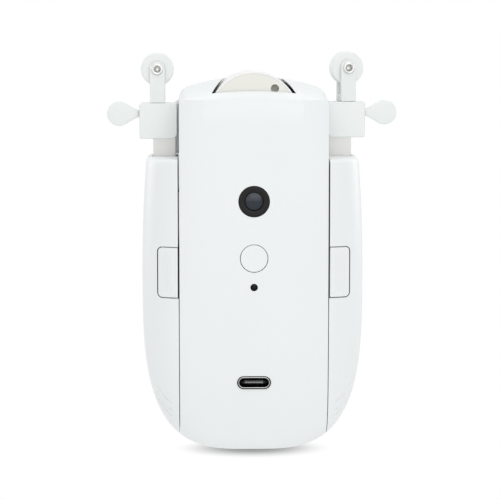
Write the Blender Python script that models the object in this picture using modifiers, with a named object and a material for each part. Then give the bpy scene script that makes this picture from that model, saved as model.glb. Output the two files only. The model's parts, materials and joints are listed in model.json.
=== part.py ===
"""A rail-hung curtain robot, modelled as its separate pieces at their real size.

Metres, +Z up, +X to the right and -Y to the front. The origin is the middle of the flat foot.
A drive wheel stands out of the top of a centre column, and two sprung arms at its sides end in
swivelling roller forks, which hang the unit from a curtain rail.
"""

import math

import bmesh
import bpy
from mathutils import Matrix, Vector, geometry

MM = 0.001

# Fits and mesh fineness
GAP = 0.3 * MM
WALL = 2.0 * MM
REACH = 12.0 * MM
FORM_SIDES = 32
FORM_RINGS = 9
INNER_SIDES = 20
INNER_RINGS = 6
ROUND_STEPS = 20
FINE_STEPS = 36
HOLE_STEPS = 10
CORNER_STEPS = 4
DOME_STEPS = 5
STADIUM_STEPS = 8
PADDLE_STEPS = 14
FLARE_STEPS = 4
COIL_STEPS = 8
LEAD_POINTS = 9
NUT_SIDES = 6
MERGE = 0.001 * MM

# Outer form of the body, a rounded block on superellipse sections
BODY_HALF_WIDTH = 31.5 * MM
BODY_HALF_DEPTH = 21.75 * MM
BODY_WIDEST_Z = 50.9 * MM
FOOT_CUT = 0.4 * MM
TOP_TAPER = 1.3 * MM
SIDE_CURVE = 3.3
DEPTH_CURVE = 4.5
PLAN_CURVE = 4.0

# Centre column and side shells
SIDE_WIDTH = 10.7 * MM
COLUMN_RISE = 23.4 * MM
COLUMN_CROWN = 3.8 * MM
COLUMN_CORNER = 2.3 * MM
DOME_HEIGHT = 8.4 * MM
DOME_CURVE = 2.4
SEAM = 0.4 * MM
SHELL_TOP = 82.9 * MM
SHELL_CORNER = 1.4 * MM

# Drive wheel
WHEEL_RADIUS = 12.6 * MM
WHEEL_RISE = 1.6 * MM
WHEEL_SIDE_GAP = 0.5 * MM
TYRE_THICKNESS = 0.7 * MM
HUB_RIM = 1.6 * MM
HUB_WEB = 6.0 * MM
HUB_BOSS_RADIUS = 4.5 * MM
HUB_HOLE_RADIUS = 1.2 * MM
HUB_HOLE_PLACE = 9.9 * MM
HUB_HOLES = 4
HUB_HOLE_ANGLE = math.radians(52.0)
SHAFT_RADIUS = 2.0 * MM
BEARING_RADIUS = 4.0 * MM
BEARING_WIDTH = 2.5 * MM
BEARING_BOSS_WALL = 1.2 * MM

# Drive train
FRAME_THICKNESS = 2.5 * MM
FRAME_SIDE_GAP = 0.5 * MM
FRAME_CORNER = 2.0 * MM
DRIVE_ROOM = 13.1 * MM
GEAR_MODULE = 0.5 * MM
GEAR_WIDTH = 4.0 * MM
GEAR_PRESSURE = math.radians(25.0)
GEAR_ADDENDUM = 0.8
GEAR_DEDENDUM = 1.15
GEAR_BACKLASH = 0.16 * MM
FLANK_POINTS = 3
WHEEL_TEETH = 18
PINION_TEETH = 14
MOTOR_RADIUS = 8.0 * MM
MOTOR_CAN_RADIUS = 6.2 * MM
MOTOR_BOARD_GAP = 5.2 * MM
MOTOR_GEARBOX = 8.0 * MM
MOTOR_SHAFT_RADIUS = 1.0 * MM
MOTOR_WHEEL_GAP = 1.0 * MM
IDLER_PIN_RADIUS = 1.0 * MM

# Front features, all on the centre line
SENSOR_DROP = 10.8 * MM
SENSOR_RADIUS = 4.35 * MM
LENS_RADIUS = 2.4 * MM
LENS_SINK = 0.6 * MM
LENS_THICKNESS = 1.5 * MM
FLANGE_RIM = 0.9 * MM
FLANGE_THICKNESS = 1.0 * MM
BUTTON_DROP = 15.9 * MM
BUTTON_RADIUS = 3.95 * MM
BUTTON_TRAVEL = 0.6 * MM
PLUNGER_RADIUS = 1.7 * MM
LIGHT_PIPE_DROP = 8.1 * MM
LIGHT_PIPE_RADIUS = 1.0 * MM
INLET_Z = 21.2 * MM
INLET_WIDTH = 8.94 * MM
INLET_HEIGHT = 3.2 * MM
INLET_SKIN = 0.3 * MM
INLET_SINK = 0.3 * MM
INLET_LENGTH = 6.4 * MM
TONGUE_WIDTH = 6.7 * MM
TONGUE_HEIGHT = 0.7 * MM
TONGUE_SINK = 0.9 * MM
SWITCH_SIDE = 6.0 * MM
SWITCH_HEIGHT = 1.7 * MM
SENSOR_CHIP_SIDE = 3.0 * MM
SENSOR_CHIP_HEIGHT = 1.2 * MM

# Board and battery
BOARD_SIDE_ROOM = 8.3 * MM
BOARD_THICKNESS = 1.4 * MM
BOARD_MARGIN = 6.0 * MM
BOARD_WHEEL_GAP = 4.0 * MM
BOARD_POST_RADIUS = 1.8 * MM
BOARD_POST_INSET = 2.2 * MM
BATTERY_SIDE_ROOM = 8.5 * MM
BATTERY_BOTTOM = 13.5 * MM
BATTERY_THICKNESS = 12.0 * MM
BATTERY_ROUND = 2.0 * MM
BATTERY_MOTOR_GAP = 3.8 * MM
LEAD_RADIUS = 0.6 * MM

# Cover and shell screws
SCREW_RADIUS = 1.0 * MM
SCREW_HEAD_RADIUS = 1.9 * MM
SCREW_HEAD = 1.6 * MM
SCREW_BITE = 9.0 * MM
BOSS_RADIUS = 2.9 * MM
COVER_SCREW_INSET = 5.2 * MM
COVER_SCREW_LOW = 16.9 * MM
COVER_SCREW_WHEEL_GAP = 1.7 * MM
COVER_SCREW_SEAT = 4.5 * MM
SHELL_SCREW_SET_BACK = 11.75 * MM
SHELL_SCREW_LOW = 30.9 * MM
SHELL_SCREW_DROP = 8.0 * MM
SHELL_SCREW_BITE = 5.0 * MM

# Arms, their springs and clamp screws
ARM_SIDE_GAP = 0.95 * MM
ARM_TRAVEL = 14.0 * MM
ARM_LIFT = {"left": 0.0, "right": 0.35 * MM}
POST_WIDTH = 6.5 * MM
POST_DEPTH = 7.2 * MM
POST_GUIDE = 1.5 * MM
BLOCK_RISE = 5.7 * MM
BLOCK_WIDTH = 10.4 * MM
BLOCK_DEPTH = 8.4 * MM
BLOCK_HEIGHT = 10.1 * MM
BLOCK_CORNER = 1.5 * MM
SHELF_THICKNESS = 2.5 * MM
SHELF_HALF_DEPTH = 8.0 * MM
ROD_RADIUS = 1.5 * MM
NUT_RADIUS = 2.9 * MM
NUT_HEIGHT = 2.4 * MM
ARM_SPRING_LENGTH = 30.0 * MM
ARM_SPRING_RADIUS = 2.3 * MM
ARM_SPRING_WIRE = 0.35 * MM
ARM_SPRING_TURNS = 6
CLAMP_DROP = 3.1 * MM
CLAMP_RADIUS = 0.95 * MM
PADDLE_RADIUS = 3.5 * MM
PADDLE_REACH = 5.8 * MM
PADDLE_THICKNESS = 2.2 * MM
PADDLE_SWEEP = math.radians(126.0)

# Roller forks
FORK_OUT = 6.2 * MM
FORK_WIDTH = 4.3 * MM
FORK_BASE = 1.8 * MM
FORK_PIN_RADIUS = 1.5 * MM
FORK_PIN_LENGTH = 7.0 * MM
FORK_TWIST = {"left": 0.0, "right": math.radians(8.0)}
PRONG_THICKNESS = 1.2 * MM
ROLLER_RADIUS = 4.7 * MM
ROLLER_WIDTH = 4.0 * MM
ROLLER_RISE = 9.3 * MM
ROLLER_ROUND = 0.5 * MM
RIVET_RADIUS = 1.3 * MM
RIVET_BORE = 0.9 * MM
RIVET_HEAD_RADIUS = 1.65 * MM
RIVET_HEAD = 0.4 * MM

# Release tabs
TAB_Z = 52.1 * MM
TAB_WIDTH = 5.6 * MM
TAB_HEIGHT = 14.0 * MM
TAB_FLANGE = 1.2 * MM
TAB_THROUGH = 7.75 * MM
TAB_TRAVEL = 1.2 * MM
TAB_POCKET = 1.8 * MM
TAB_SEAT_GAP = 5.0 * MM
TAB_SEAT_THICKNESS = 2.0 * MM
TAB_SPRING_RADIUS = 1.7 * MM
TAB_SPRING_WIRE = 0.3 * MM
TAB_SPRING_TURNS = 3

# Heights and depths that follow from the sizes above
COLUMN_HALF_WIDTH = BODY_HALF_WIDTH - SIDE_WIDTH
COLUMN_TOP = SHELL_TOP + COLUMN_RISE
SENSOR_Z = SHELL_TOP - SENSOR_DROP
BUTTON_Z = SENSOR_Z - BUTTON_DROP
LIGHT_PIPE_Z = BUTTON_Z - LIGHT_PIPE_DROP
COVER_SCREW_X = COLUMN_HALF_WIDTH - COVER_SCREW_INSET
SHELL_SCREW_Y = SHELL_SCREW_SET_BACK - BODY_HALF_DEPTH
SHELL_SCREW_HEIGHTS = (SHELL_SCREW_LOW, SHELL_TOP - SHELL_SCREW_DROP)
BOARD_HALF_WIDTH = COLUMN_HALF_WIDTH - BOARD_SIDE_ROOM
BATTERY_HALF_WIDTH = COLUMN_HALF_WIDTH - BATTERY_SIDE_ROOM
FRONT_IN_Y = -(BODY_HALF_DEPTH - WALL)
WHEEL_WIDTH = 2 * (BODY_HALF_DEPTH - WALL) - DRIVE_ROOM
WHEEL_Z = COLUMN_TOP + WHEEL_RISE - WHEEL_RADIUS
COVER_SCREW_REACH = WHEEL_RADIUS + WHEEL_SIDE_GAP + BOSS_RADIUS + COVER_SCREW_WHEEL_GAP
COVER_SCREW_BELOW = math.sqrt(max(0.0, COVER_SCREW_REACH**2 - COVER_SCREW_X**2))
COVER_SCREW_HEIGHTS = (COVER_SCREW_LOW, WHEEL_Z - COVER_SCREW_BELOW)
WHEEL_FRONT_Y = FRONT_IN_Y + WHEEL_SIDE_GAP
WHEEL_BACK_Y = WHEEL_FRONT_Y + WHEEL_WIDTH
HUB_RADIUS = WHEEL_RADIUS - TYRE_THICKNESS - GAP
BEARING_BOSS_RADIUS = BEARING_RADIUS + GAP + BEARING_BOSS_WALL
BEARING_BOSS_END_Y = FRONT_IN_Y + BEARING_WIDTH + 2 * GAP
FRAME_FRONT_Y = WHEEL_BACK_Y + 4 * WHEEL_SIDE_GAP
FRAME_BACK_Y = FRAME_FRONT_Y + FRAME_THICKNESS
GEAR_FRONT_Y = FRAME_BACK_Y + 2 * GAP
GEAR_BACK_Y = GEAR_FRONT_Y + GEAR_WIDTH
GEAR_MID_Y = (GEAR_FRONT_Y + GEAR_BACK_Y) / 2
LEAST_TRAIN = 2 * (WHEEL_RADIUS + MOTOR_RADIUS + MOTOR_WHEEL_GAP) / GEAR_MODULE
IDLER_TEETH = math.ceil((LEAST_TRAIN - WHEEL_TEETH - PINION_TEETH) / 2)
IDLER_Z = WHEEL_Z - GEAR_MODULE * (WHEEL_TEETH + IDLER_TEETH) / 2
MOTOR_Z = IDLER_Z - GEAR_MODULE * (IDLER_TEETH + PINION_TEETH) / 2
MOTOR_BACK_Y = FRAME_FRONT_Y - GAP
INLET_FRONT_Y = -BODY_HALF_DEPTH + INLET_SINK
BOARD_FRONT_Y = INLET_FRONT_Y + INLET_LENGTH + GAP
BOARD_BACK_Y = BOARD_FRONT_Y + BOARD_THICKNESS
MOTOR_FRONT_Y = BOARD_BACK_Y + MOTOR_BOARD_GAP
BOARD_BOTTOM = INLET_Z - BOARD_MARGIN
BOARD_TOP = WHEEL_Z - WHEEL_RADIUS - BOARD_WHEEL_GAP
BATTERY_TOP = MOTOR_Z - MOTOR_RADIUS - BATTERY_MOTOR_GAP
BATTERY_BACK_Y = FRAME_FRONT_Y - GAP
SHELL_IN = COLUMN_HALF_WIDTH + SEAM
ARM_IN = COLUMN_HALF_WIDTH + ARM_SIDE_GAP
POST_X = ARM_IN + POST_WIDTH / 2
SHELF_TOP = SHELL_TOP - WALL - POST_GUIDE - ARM_TRAVEL
SHELF_BOTTOM = SHELF_TOP - SHELF_THICKNESS
POST_BOTTOM = SHELF_TOP + GAP
BLOCK_BOTTOM = SHELL_TOP + BLOCK_RISE
BLOCK_TOP = BLOCK_BOTTOM + BLOCK_HEIGHT
BLOCK_OUT = ARM_IN + BLOCK_WIDTH
CLAMP_Z = BLOCK_TOP - CLAMP_DROP
NUT_TOP = SHELF_BOTTOM - ARM_SPRING_LENGTH - 2 * GAP
ROD_BOTTOM = NUT_TOP - NUT_HEIGHT - GAP
FORK_X = COLUMN_HALF_WIDTH + FORK_OUT
FORK_BOTTOM = BLOCK_TOP + GAP
PRONG_IN = ROLLER_WIDTH / 2 + GAP
PRONG_OUT = PRONG_IN + PRONG_THICKNESS
TAB_OUT = SHELL_IN + TAB_WIDTH
TAB_BACK_Y = TAB_THROUGH - BODY_HALF_DEPTH
TAB_SEAT_Y = TAB_BACK_Y + TAB_SEAT_GAP
TAB_SPRING_X = (SHELL_IN + TAB_OUT) / 2

SIDES = {"left": -1, "right": 1}
FACING_FRONT = (math.pi / 2, 0.0, 0.0)

# Name, colour, roughness and metallic value of each finish
FINISHES = {
    "white_shell": ((0.85, 0.88, 0.88), 0.35, 0.0),
    "white_arm": ((0.83, 0.86, 0.86), 0.45, 0.0),
    "cream_wheel": ((0.80, 0.80, 0.74), 0.5, 0.0),
    "wheel_rubber": ((0.78, 0.78, 0.74), 0.8, 0.0),
    "black_trim": ((0.025, 0.025, 0.025), 0.4, 0.0),
    "smoked_lens": ((0.045, 0.052, 0.065), 0.1, 0.0),
    "steel": ((0.62, 0.62, 0.62), 0.3, 1.0),
    "gear_plastic": ((0.75, 0.73, 0.66), 0.5, 0.0),
    "frame_plastic": ((0.20, 0.21, 0.22), 0.6, 0.0),
    "board_green": ((0.02, 0.16, 0.07), 0.5, 0.0),
    "battery_wrap": ((0.05, 0.12, 0.35), 0.4, 0.0),
    "lead_sleeve": ((0.45, 0.03, 0.02), 0.5, 0.0),
}


def clear_scene():
    """Removes every object and starts the two collections."""
    for obj in list(bpy.data.objects):
        bpy.data.objects.remove(obj, do_unlink=True)
    for name in ("curtain_robot", "cutters"):
        collection = bpy.data.collections.new(name)
        bpy.context.scene.collection.children.link(collection)


def make_finishes():
    """One Principled material for each finish."""
    for name, (colour, roughness, metallic) in FINISHES.items():
        material = bpy.data.materials.new(name)
        material.use_nodes = True
        shader = material.node_tree.nodes["Principled BSDF"]
        shader.inputs["Base Color"].default_value = (*colour, 1.0)
        shader.inputs["Roughness"].default_value = roughness
        shader.inputs["Metallic"].default_value = metallic


def part(obj, finish, location=(0.0, 0.0, 0.0), rotation=(0.0, 0.0, 0.0), parent=None):
    """Makes an object a piece of the robot, with its finish and its place under its parent."""
    bpy.data.collections["curtain_robot"].objects.link(obj)
    obj.data.materials.append(bpy.data.materials[finish])
    if obj.type == "MESH":
        obj.data.shade_smooth()
        obj.data.set_sharp_from_angle(angle=math.radians(35.0))
    obj.parent = parent
    obj.location = location
    obj.rotation_euler = rotation
    return obj


def tool(obj, owner=None):
    """Makes an object a hidden cutter that moves with its owner."""
    bpy.data.collections["cutters"].objects.link(obj)
    obj.hide_render = True
    obj.display_type = "WIRE"
    obj.parent = owner
    return obj


def boolean(target, operation, others):
    """Adds one Boolean for each of the other objects."""
    for other in others:
        modifier = target.modifiers.new(other.name, "BOOLEAN")
        modifier.operation = operation
        modifier.solver = "EXACT"
        modifier.object = other
    return target


def cut(target, *others):
    return boolean(target, "DIFFERENCE", others)


def join(target, *others):
    return boolean(target, "UNION", others)


def keep_inside(target, *others):
    return boolean(target, "INTERSECT", others)


def object_from(name, bm):
    """A new mesh object from a bmesh with its faces turned out. The bmesh is freed."""
    bmesh.ops.recalc_face_normals(bm, faces=bm.faces)
    if bm.calc_volume(signed=True) < 0.0:
        bmesh.ops.reverse_faces(bm, faces=bm.faces)
    mesh = bpy.data.meshes.new(name)
    bm.to_mesh(mesh)
    bm.free()
    return bpy.data.objects.new(name, mesh)


def box(name, one_corner, other_corner):
    """A box between two opposite corners, in any order."""
    low = Vector(map(min, one_corner, other_corner))
    high = Vector(map(max, one_corner, other_corner))
    bm = bmesh.new()
    bmesh.ops.create_cube(bm, size=1.0)
    bmesh.ops.scale(bm, vec=high - low, verts=bm.verts)
    bmesh.ops.translate(bm, vec=(low + high) / 2, verts=bm.verts)
    return object_from(name, bm)


def rod(name, start, end, radius, steps=HOLE_STEPS):
    """A cylinder from one point to another."""
    start = Vector(start)
    end = Vector(end)
    run = end - start
    bm = bmesh.new()
    bmesh.ops.create_cone(
        bm, cap_ends=True, segments=steps, radius1=radius, radius2=radius, depth=run.length
    )
    turn = run.to_track_quat("Z", "Y").to_matrix().to_4x4()
    bmesh.ops.transform(bm, matrix=Matrix.Translation((start + end) / 2) @ turn, verts=bm.verts)
    return object_from(name, bm)


def turned(name, profile, closed=True, steps=ROUND_STEPS):
    """A profile of (radius, height) turned about Z, its outer side running from top to bottom."""
    count = len(profile)
    edges = [(i, (i + 1) % count) for i in range(count if closed else count - 1)]
    mesh = bpy.data.meshes.new(name)
    mesh.from_pydata([(radius, 0.0, height) for radius, height in profile], edges, [])
    obj = bpy.data.objects.new(name, mesh)
    screw = obj.modifiers.new("turn", "SCREW")
    screw.steps = steps
    screw.render_steps = steps
    screw.use_merge_vertices = True
    screw.merge_threshold = MERGE
    return obj


def ring(name, outer, inner, low, high, steps=ROUND_STEPS):
    """A turned ring between two heights."""
    return turned(name, [(outer, high), (outer, low), (inner, low), (inner, high)], steps=steps)


def plate(name, outlines, thickness):
    """A flat piece from (x, z) outlines, the first its edge and the rest its holes, centred on Y = 0."""
    curve = bpy.data.curves.new(name, "CURVE")
    curve.dimensions = "2D"
    curve.fill_mode = "BOTH"
    curve.extrude = thickness / 2 / MM
    for outline in outlines:
        spline = curve.splines.new("POLY")
        spline.points.add(len(outline) - 1)
        for point, (across, up) in zip(spline.points, outline):
            point.co = (across / MM, up / MM, 0.0, 1.0)
        spline.use_cyclic_u = True
    guide = bpy.data.objects.new(name, curve)
    bpy.context.scene.collection.objects.link(guide)
    bpy.context.view_layer.update()
    graph = bpy.context.evaluated_depsgraph_get()
    flat = bpy.data.meshes.new_from_object(guide.evaluated_get(graph))
    bpy.data.objects.remove(guide, do_unlink=True)
    bm = bmesh.new()
    bm.from_mesh(flat)
    bpy.data.meshes.remove(flat)
    bmesh.ops.transform(bm, matrix=Matrix.Rotation(math.pi / 2, 4, "X"), verts=bm.verts)
    bmesh.ops.scale(bm, vec=(MM, MM, MM), verts=bm.verts)
    bmesh.ops.remove_doubles(bm, verts=bm.verts, dist=MERGE)
    return object_from(name, bm)


def coil(name, radius, wire, length, turns):
    """A coil spring that stands on the local origin along Z."""
    curve = bpy.data.curves.new(name, "CURVE")
    curve.dimensions = "3D"
    curve.bevel_depth = wire
    curve.bevel_resolution = 1
    curve.use_fill_caps = True
    spline = curve.splines.new("POLY")
    count = turns * COIL_STEPS
    spline.points.add(count)
    for i, point in enumerate(spline.points):
        angle = 2 * math.pi * i / COIL_STEPS
        height = wire + (length - 2 * wire) * i / count
        point.co = (radius * math.cos(angle), radius * math.sin(angle), height, 1.0)
    return bpy.data.objects.new(name, curve)


def lead(name, start, start_pull, end_pull, end):
    """A wire lead along one Bezier sweep."""
    curve = bpy.data.curves.new(name, "CURVE")
    curve.dimensions = "3D"
    curve.bevel_depth = LEAD_RADIUS
    curve.bevel_resolution = 1
    curve.use_fill_caps = True
    sweep = geometry.interpolate_bezier(*map(Vector, (start, start_pull, end_pull, end)), LEAD_POINTS)
    spline = curve.splines.new("POLY")
    spline.points.add(len(sweep) - 1)
    for point, place in zip(spline.points, sweep):
        point.co = (*place, 1.0)
    return bpy.data.objects.new(name, curve)


def arc(centre, radius, start, end, steps):
    """Points of an arc, both ends included."""
    angles = [start + (end - start) * i / steps for i in range(steps + 1)]
    return [(centre[0] + radius * math.cos(a), centre[1] + radius * math.sin(a)) for a in angles]


def circle(centre, radius, steps=ROUND_STEPS):
    return arc(centre, radius, 0.0, 2 * math.pi * (1 - 1 / steps), steps - 1)


def rounded_rectangle(half_width, bottom, top, corner):
    """A rectangle about X = 0 with round corners."""
    x = half_width - corner
    quarter = math.pi / 2
    points = arc((x, top - corner), corner, quarter, 0.0, CORNER_STEPS)
    points += arc((x, bottom + corner), corner, 0.0, -quarter, CORNER_STEPS)
    points += arc((-x, bottom + corner), corner, -quarter, -2 * quarter, CORNER_STEPS)
    points += arc((-x, top - corner), corner, 2 * quarter, quarter, CORNER_STEPS)
    return points


def stadium(width, height, z):
    """A slot outline with round ends, centred on (0, z)."""
    x = (width - height) / 2
    quarter = math.pi / 2
    points = arc((x, z), height / 2, quarter, -quarter, STADIUM_STEPS)
    return points + arc((-x, z), height / 2, -quarter, -3 * quarter, STADIUM_STEPS)


def drop_share(z, inset):
    """How far z lies below the widest height, as a share of the rounded bottom's full drop."""
    return max(0.0, BODY_WIDEST_Z - z) / (BODY_WIDEST_Z + FOOT_CUT - inset)


def half_width(z, inset):
    """Half the body's width at a height."""
    rise = max(0.0, z - BODY_WIDEST_Z) / (SHELL_TOP - BODY_WIDEST_Z)
    widest = BODY_HALF_WIDTH - inset - TOP_TAPER * rise**2
    return widest * (1 - drop_share(z, inset) ** SIDE_CURVE) ** (1 / SIDE_CURVE)


def half_depth(z, inset):
    """Half the body's depth at a height."""
    return (BODY_HALF_DEPTH - inset) * (1 - drop_share(z, inset) ** DEPTH_CURVE) ** (1 / DEPTH_CURVE)


def body_ring(z, inset, sides):
    """The plan section at a height, a superellipse."""
    power = 2 / PLAN_CURVE
    points = []
    for i in range(sides):
        angle = 2 * math.pi * i / sides
        across = math.copysign(abs(math.cos(angle)) ** power, math.cos(angle))
        along = math.copysign(abs(math.sin(angle)) ** power, math.sin(angle))
        points.append((half_width(z, inset) * across, half_depth(z, inset) * along, z))
    return points


def body_form(name, inset, sides, steps):
    """The body's whole rounded block, drawn in by inset, as a loft of plan sections."""
    foot = drop_share(inset, inset)
    foot_angle = math.asin(foot ** (SIDE_CURVE / 2))
    heights = []
    for i in range(steps + 1):
        angle = foot_angle * (1 - i / steps)
        full_drop = BODY_WIDEST_Z + FOOT_CUT - inset
        heights.append(BODY_WIDEST_Z - full_drop * math.sin(angle) ** (2 / SIDE_CURVE))
    heights += [(BODY_WIDEST_Z + SHELL_TOP) / 2, SHELL_TOP, COLUMN_TOP + REACH]
    bm = bmesh.new()
    rings = [[bm.verts.new(point) for point in body_ring(z, inset, sides)] for z in heights]
    for lower, upper in zip(rings, rings[1:]):
        for i in range(sides):
            j = (i + 1) % sides
            bm.faces.new((lower[i], lower[j], upper[j], upper[i]))
    bm.faces.new(reversed(rings[0]))
    bm.faces.new(rings[-1])
    return object_from(name, bm)


def top_height(x, y, inset):
    """Height of the column's domed top over a place in plan, drawn in by inset."""
    corner = max(COLUMN_CORNER - inset, inset / 4)
    half = COLUMN_HALF_WIDTH - inset
    past = min(max(0.0, abs(x) - half + corner), corner)
    side_drop = corner - math.sqrt(corner**2 - past**2)
    reach = min(1.0, abs(y) / (BODY_HALF_DEPTH - inset + GAP))
    rise = DOME_HEIGHT - COLUMN_CROWN * (x / COLUMN_HALF_WIDTH) ** 2
    dome = rise * (1 - reach**DOME_CURVE) ** (1 / DOME_CURVE)
    return COLUMN_TOP - DOME_HEIGHT - inset + dome - side_drop


def dome_form(name, inset):
    """Everything below the column's domed top, which runs past the column on all sides."""
    half = COLUMN_HALF_WIDTH - inset
    corner = max(COLUMN_CORNER - inset, inset / 4)
    across = [(half - corner) * i / DOME_STEPS for i in range(DOME_STEPS + 1)]
    across += [x for x, _ in arc((half - corner, 0.0), corner, math.pi / 2, 0.0, CORNER_STEPS)[1:]]
    across.append(half + REACH)
    depth = BODY_HALF_DEPTH - inset + GAP
    quarter = math.pi / 2
    along = [depth * math.sin(quarter * i / (2 * DOME_STEPS)) for i in range(2 * DOME_STEPS + 1)]
    along.append(depth + REACH)
    xs = [-x for x in reversed(across[1:])] + across
    ys = [-y for y in reversed(along[1:])] + along
    bm = bmesh.new()
    grid = [[bm.verts.new((x, y, top_height(x, y, inset))) for y in ys] for x in xs]
    for row, next_row in zip(grid, grid[1:]):
        for i in range(len(ys) - 1):
            bm.faces.new((row[i], next_row[i], next_row[i + 1], row[i + 1]))
    sides = bmesh.ops.extrude_face_region(bm, geom=bm.faces[:])["geom"]
    for vertex in (item for item in sides if isinstance(item, bmesh.types.BMVert)):
        vertex.co.z = -REACH
    return object_from(name, bm)


def column_block(name, inset, front_y, back_y):
    """A plain block as wide as the column, between two depths."""
    half = COLUMN_HALF_WIDTH - inset
    return box(name, (-half, front_y, -REACH), (half, back_y, COLUMN_TOP + REACH))


def shell_outline(side):
    """The front view of one side shell, running past the body except along the seam and the top."""
    top_x = half_width(SHELL_TOP, 0.0)
    centre = (top_x - SHELL_CORNER, SHELL_TOP - SHELL_CORNER)
    corner = arc(centre, SHELL_CORNER, math.pi / 2, 0.0, CORNER_STEPS)
    outside = BODY_HALF_WIDTH + REACH
    points = [(SHELL_IN, -REACH), (SHELL_IN, SHELL_TOP), *corner]
    points += [(outside, SHELL_TOP - 3 * SHELL_CORNER), (outside, -REACH)]
    return [(side * x, z) for x, z in points]


def slab(name, outline, front_y, back_y):
    """A plate between two depths."""
    obj = plate(name, [outline], back_y - front_y)
    obj.data.transform(Matrix.Translation((0.0, (front_y + back_y) / 2, 0.0)))
    return obj


def cover_screw_places():
    return [(side * COVER_SCREW_X, z) for z in COVER_SCREW_HEIGHTS for side in (-1, 1)]


def board_post_places():
    x = BOARD_HALF_WIDTH - BOARD_POST_INSET
    heights = (BOARD_BOTTOM + BOARD_POST_INSET, BOARD_TOP - BOARD_POST_INSET)
    return [(side * x, z) for z in heights for side in (-1, 1)]


def make_forms():
    """The outer block, the space inside its wall, and the space behind that which flanges keep to."""
    outer = tool(body_form("outer_form", 0.0, FORM_SIDES, FORM_RINGS))
    inner = tool(body_form("inner_form", WALL, INNER_SIDES, INNER_RINGS))
    behind = tool(body_form("flange_form", WALL + GAP, INNER_SIDES, INNER_RINGS))
    return outer, inner, behind


def make_domes():
    """The dome over the column, and the same drawn in by the wall."""
    return tool(dome_form("outer_dome", 0.0)), tool(dome_form("inner_dome", WALL))


def make_column_core(name, inner, inner_dome):
    """The space inside the centre column."""
    deep = BODY_HALF_DEPTH + REACH
    return keep_inside(tool(column_block(name, WALL, -deep, deep)), inner, inner_dome)


def make_front_cover(outer, inner, domes):
    """The tall front cover: the panel, the column's sides and the slot that the wheel stands in."""
    deep = BODY_HALF_DEPTH + REACH
    outer_dome, inner_dome = domes
    cover = column_block("front_cover", 0.0, -deep, FRAME_FRONT_Y - GAP / 2)
    part(cover, "white_shell")
    keep_inside(cover, outer, outer_dome)
    core = make_column_core("front_core", inner, inner_dome)
    for i, (x, z) in enumerate(cover_screw_places()):
        cut(core, tool(rod(f"front_boss_{i}", (x, -deep, z), (x, FRAME_FRONT_Y - GAP, z), BOSS_RADIUS)))
    for i, (x, z) in enumerate(board_post_places()):
        post_end = (x, BOARD_FRONT_Y - GAP, z)
        cut(core, tool(rod(f"board_post_{i}", (x, -deep, z), post_end, BOARD_POST_RADIUS)))
    boss_start = (0.0, -deep, WHEEL_Z)
    boss_end = (0.0, BEARING_BOSS_END_Y, WHEEL_Z)
    cut(core, tool(rod("bearing_boss", boss_start, boss_end, BEARING_BOSS_RADIUS, ROUND_STEPS)))
    cut(cover, core)
    slot_radius = WHEEL_RADIUS + WHEEL_SIDE_GAP
    slot_start = (0.0, WHEEL_FRONT_Y - GAP, WHEEL_Z)
    slot_end = (0.0, WHEEL_BACK_Y + WHEEL_SIDE_GAP, WHEEL_Z)
    slot = tool(rod("wheel_slot", slot_start, slot_end, slot_radius, FINE_STEPS))
    cut(slot, tool(rod("bearing_boss_keep", boss_start, boss_end, BEARING_BOSS_RADIUS, ROUND_STEPS)))
    cut(cover, slot)
    seat_radius = BEARING_RADIUS + GAP
    seat_start = (0.0, BEARING_BOSS_END_Y - BEARING_WIDTH - GAP, WHEEL_Z)
    cut(cover, tool(rod("front_bearing_seat", seat_start, (0.0, 0.0, WHEEL_Z), seat_radius, ROUND_STEPS)))
    for i, (x, z) in enumerate(cover_screw_places()):
        start = (x, FRAME_FRONT_Y - SCREW_BITE - GAP, z)
        cut(cover, tool(rod(f"pilot_hole_{i}", start, (x, deep, z), SCREW_RADIUS + GAP)))
    holes = {"sensor": (SENSOR_Z, SENSOR_RADIUS), "button": (BUTTON_Z, BUTTON_RADIUS)}
    holes["light_pipe"] = (LIGHT_PIPE_Z, LIGHT_PIPE_RADIUS)
    for name, (z, radius) in holes.items():
        end = (0.0, FRONT_IN_Y + GAP, z)
        cut(cover, tool(rod(f"{name}_hole", (0.0, -deep, z), end, radius + GAP, ROUND_STEPS)))
    opening = stadium(INLET_WIDTH + 2 * GAP, INLET_HEIGHT + 2 * GAP, INLET_Z)
    cut(cover, tool(slab("inlet_hole", opening, -deep, BOARD_FRONT_Y)))
    for side_name, side in SIDES.items():
        for i, z in enumerate(SHELL_SCREW_HEIGHTS):
            start = (side * (COLUMN_HALF_WIDTH - 2 * WALL), SHELL_SCREW_Y, z)
            end = (side * (COLUMN_HALF_WIDTH + WALL), SHELL_SCREW_Y, z)
            cut(cover, tool(rod(f"{side_name}_shell_hole_{i}", start, end, SCREW_RADIUS + GAP)))
    return cover


def make_rear_cover(outer, inner, domes):
    """The shallow rear cover over the gears."""
    deep = BODY_HALF_DEPTH + REACH
    outer_dome, inner_dome = domes
    cover = column_block("rear_cover", 0.0, FRAME_FRONT_Y + GAP / 2, deep)
    part(cover, "white_shell")
    keep_inside(cover, outer, outer_dome)
    core = make_column_core("rear_core", inner, inner_dome)
    for i, (x, z) in enumerate(cover_screw_places()):
        cut(core, tool(rod(f"rear_boss_{i}", (x, FRAME_BACK_Y + GAP, z), (x, deep, z), BOSS_RADIUS)))
    cut(cover, core)
    seat = FRAME_BACK_Y + COVER_SCREW_SEAT
    for i, (x, z) in enumerate(cover_screw_places()):
        cut(cover, tool(rod(f"screw_hole_{i}", (x, 0.0, z), (x, deep, z), SCREW_RADIUS + GAP)))
        cut(cover, tool(rod(f"head_hole_{i}", (x, seat, z), (x, deep, z), SCREW_HEAD_RADIUS + GAP)))
    return cover


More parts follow.
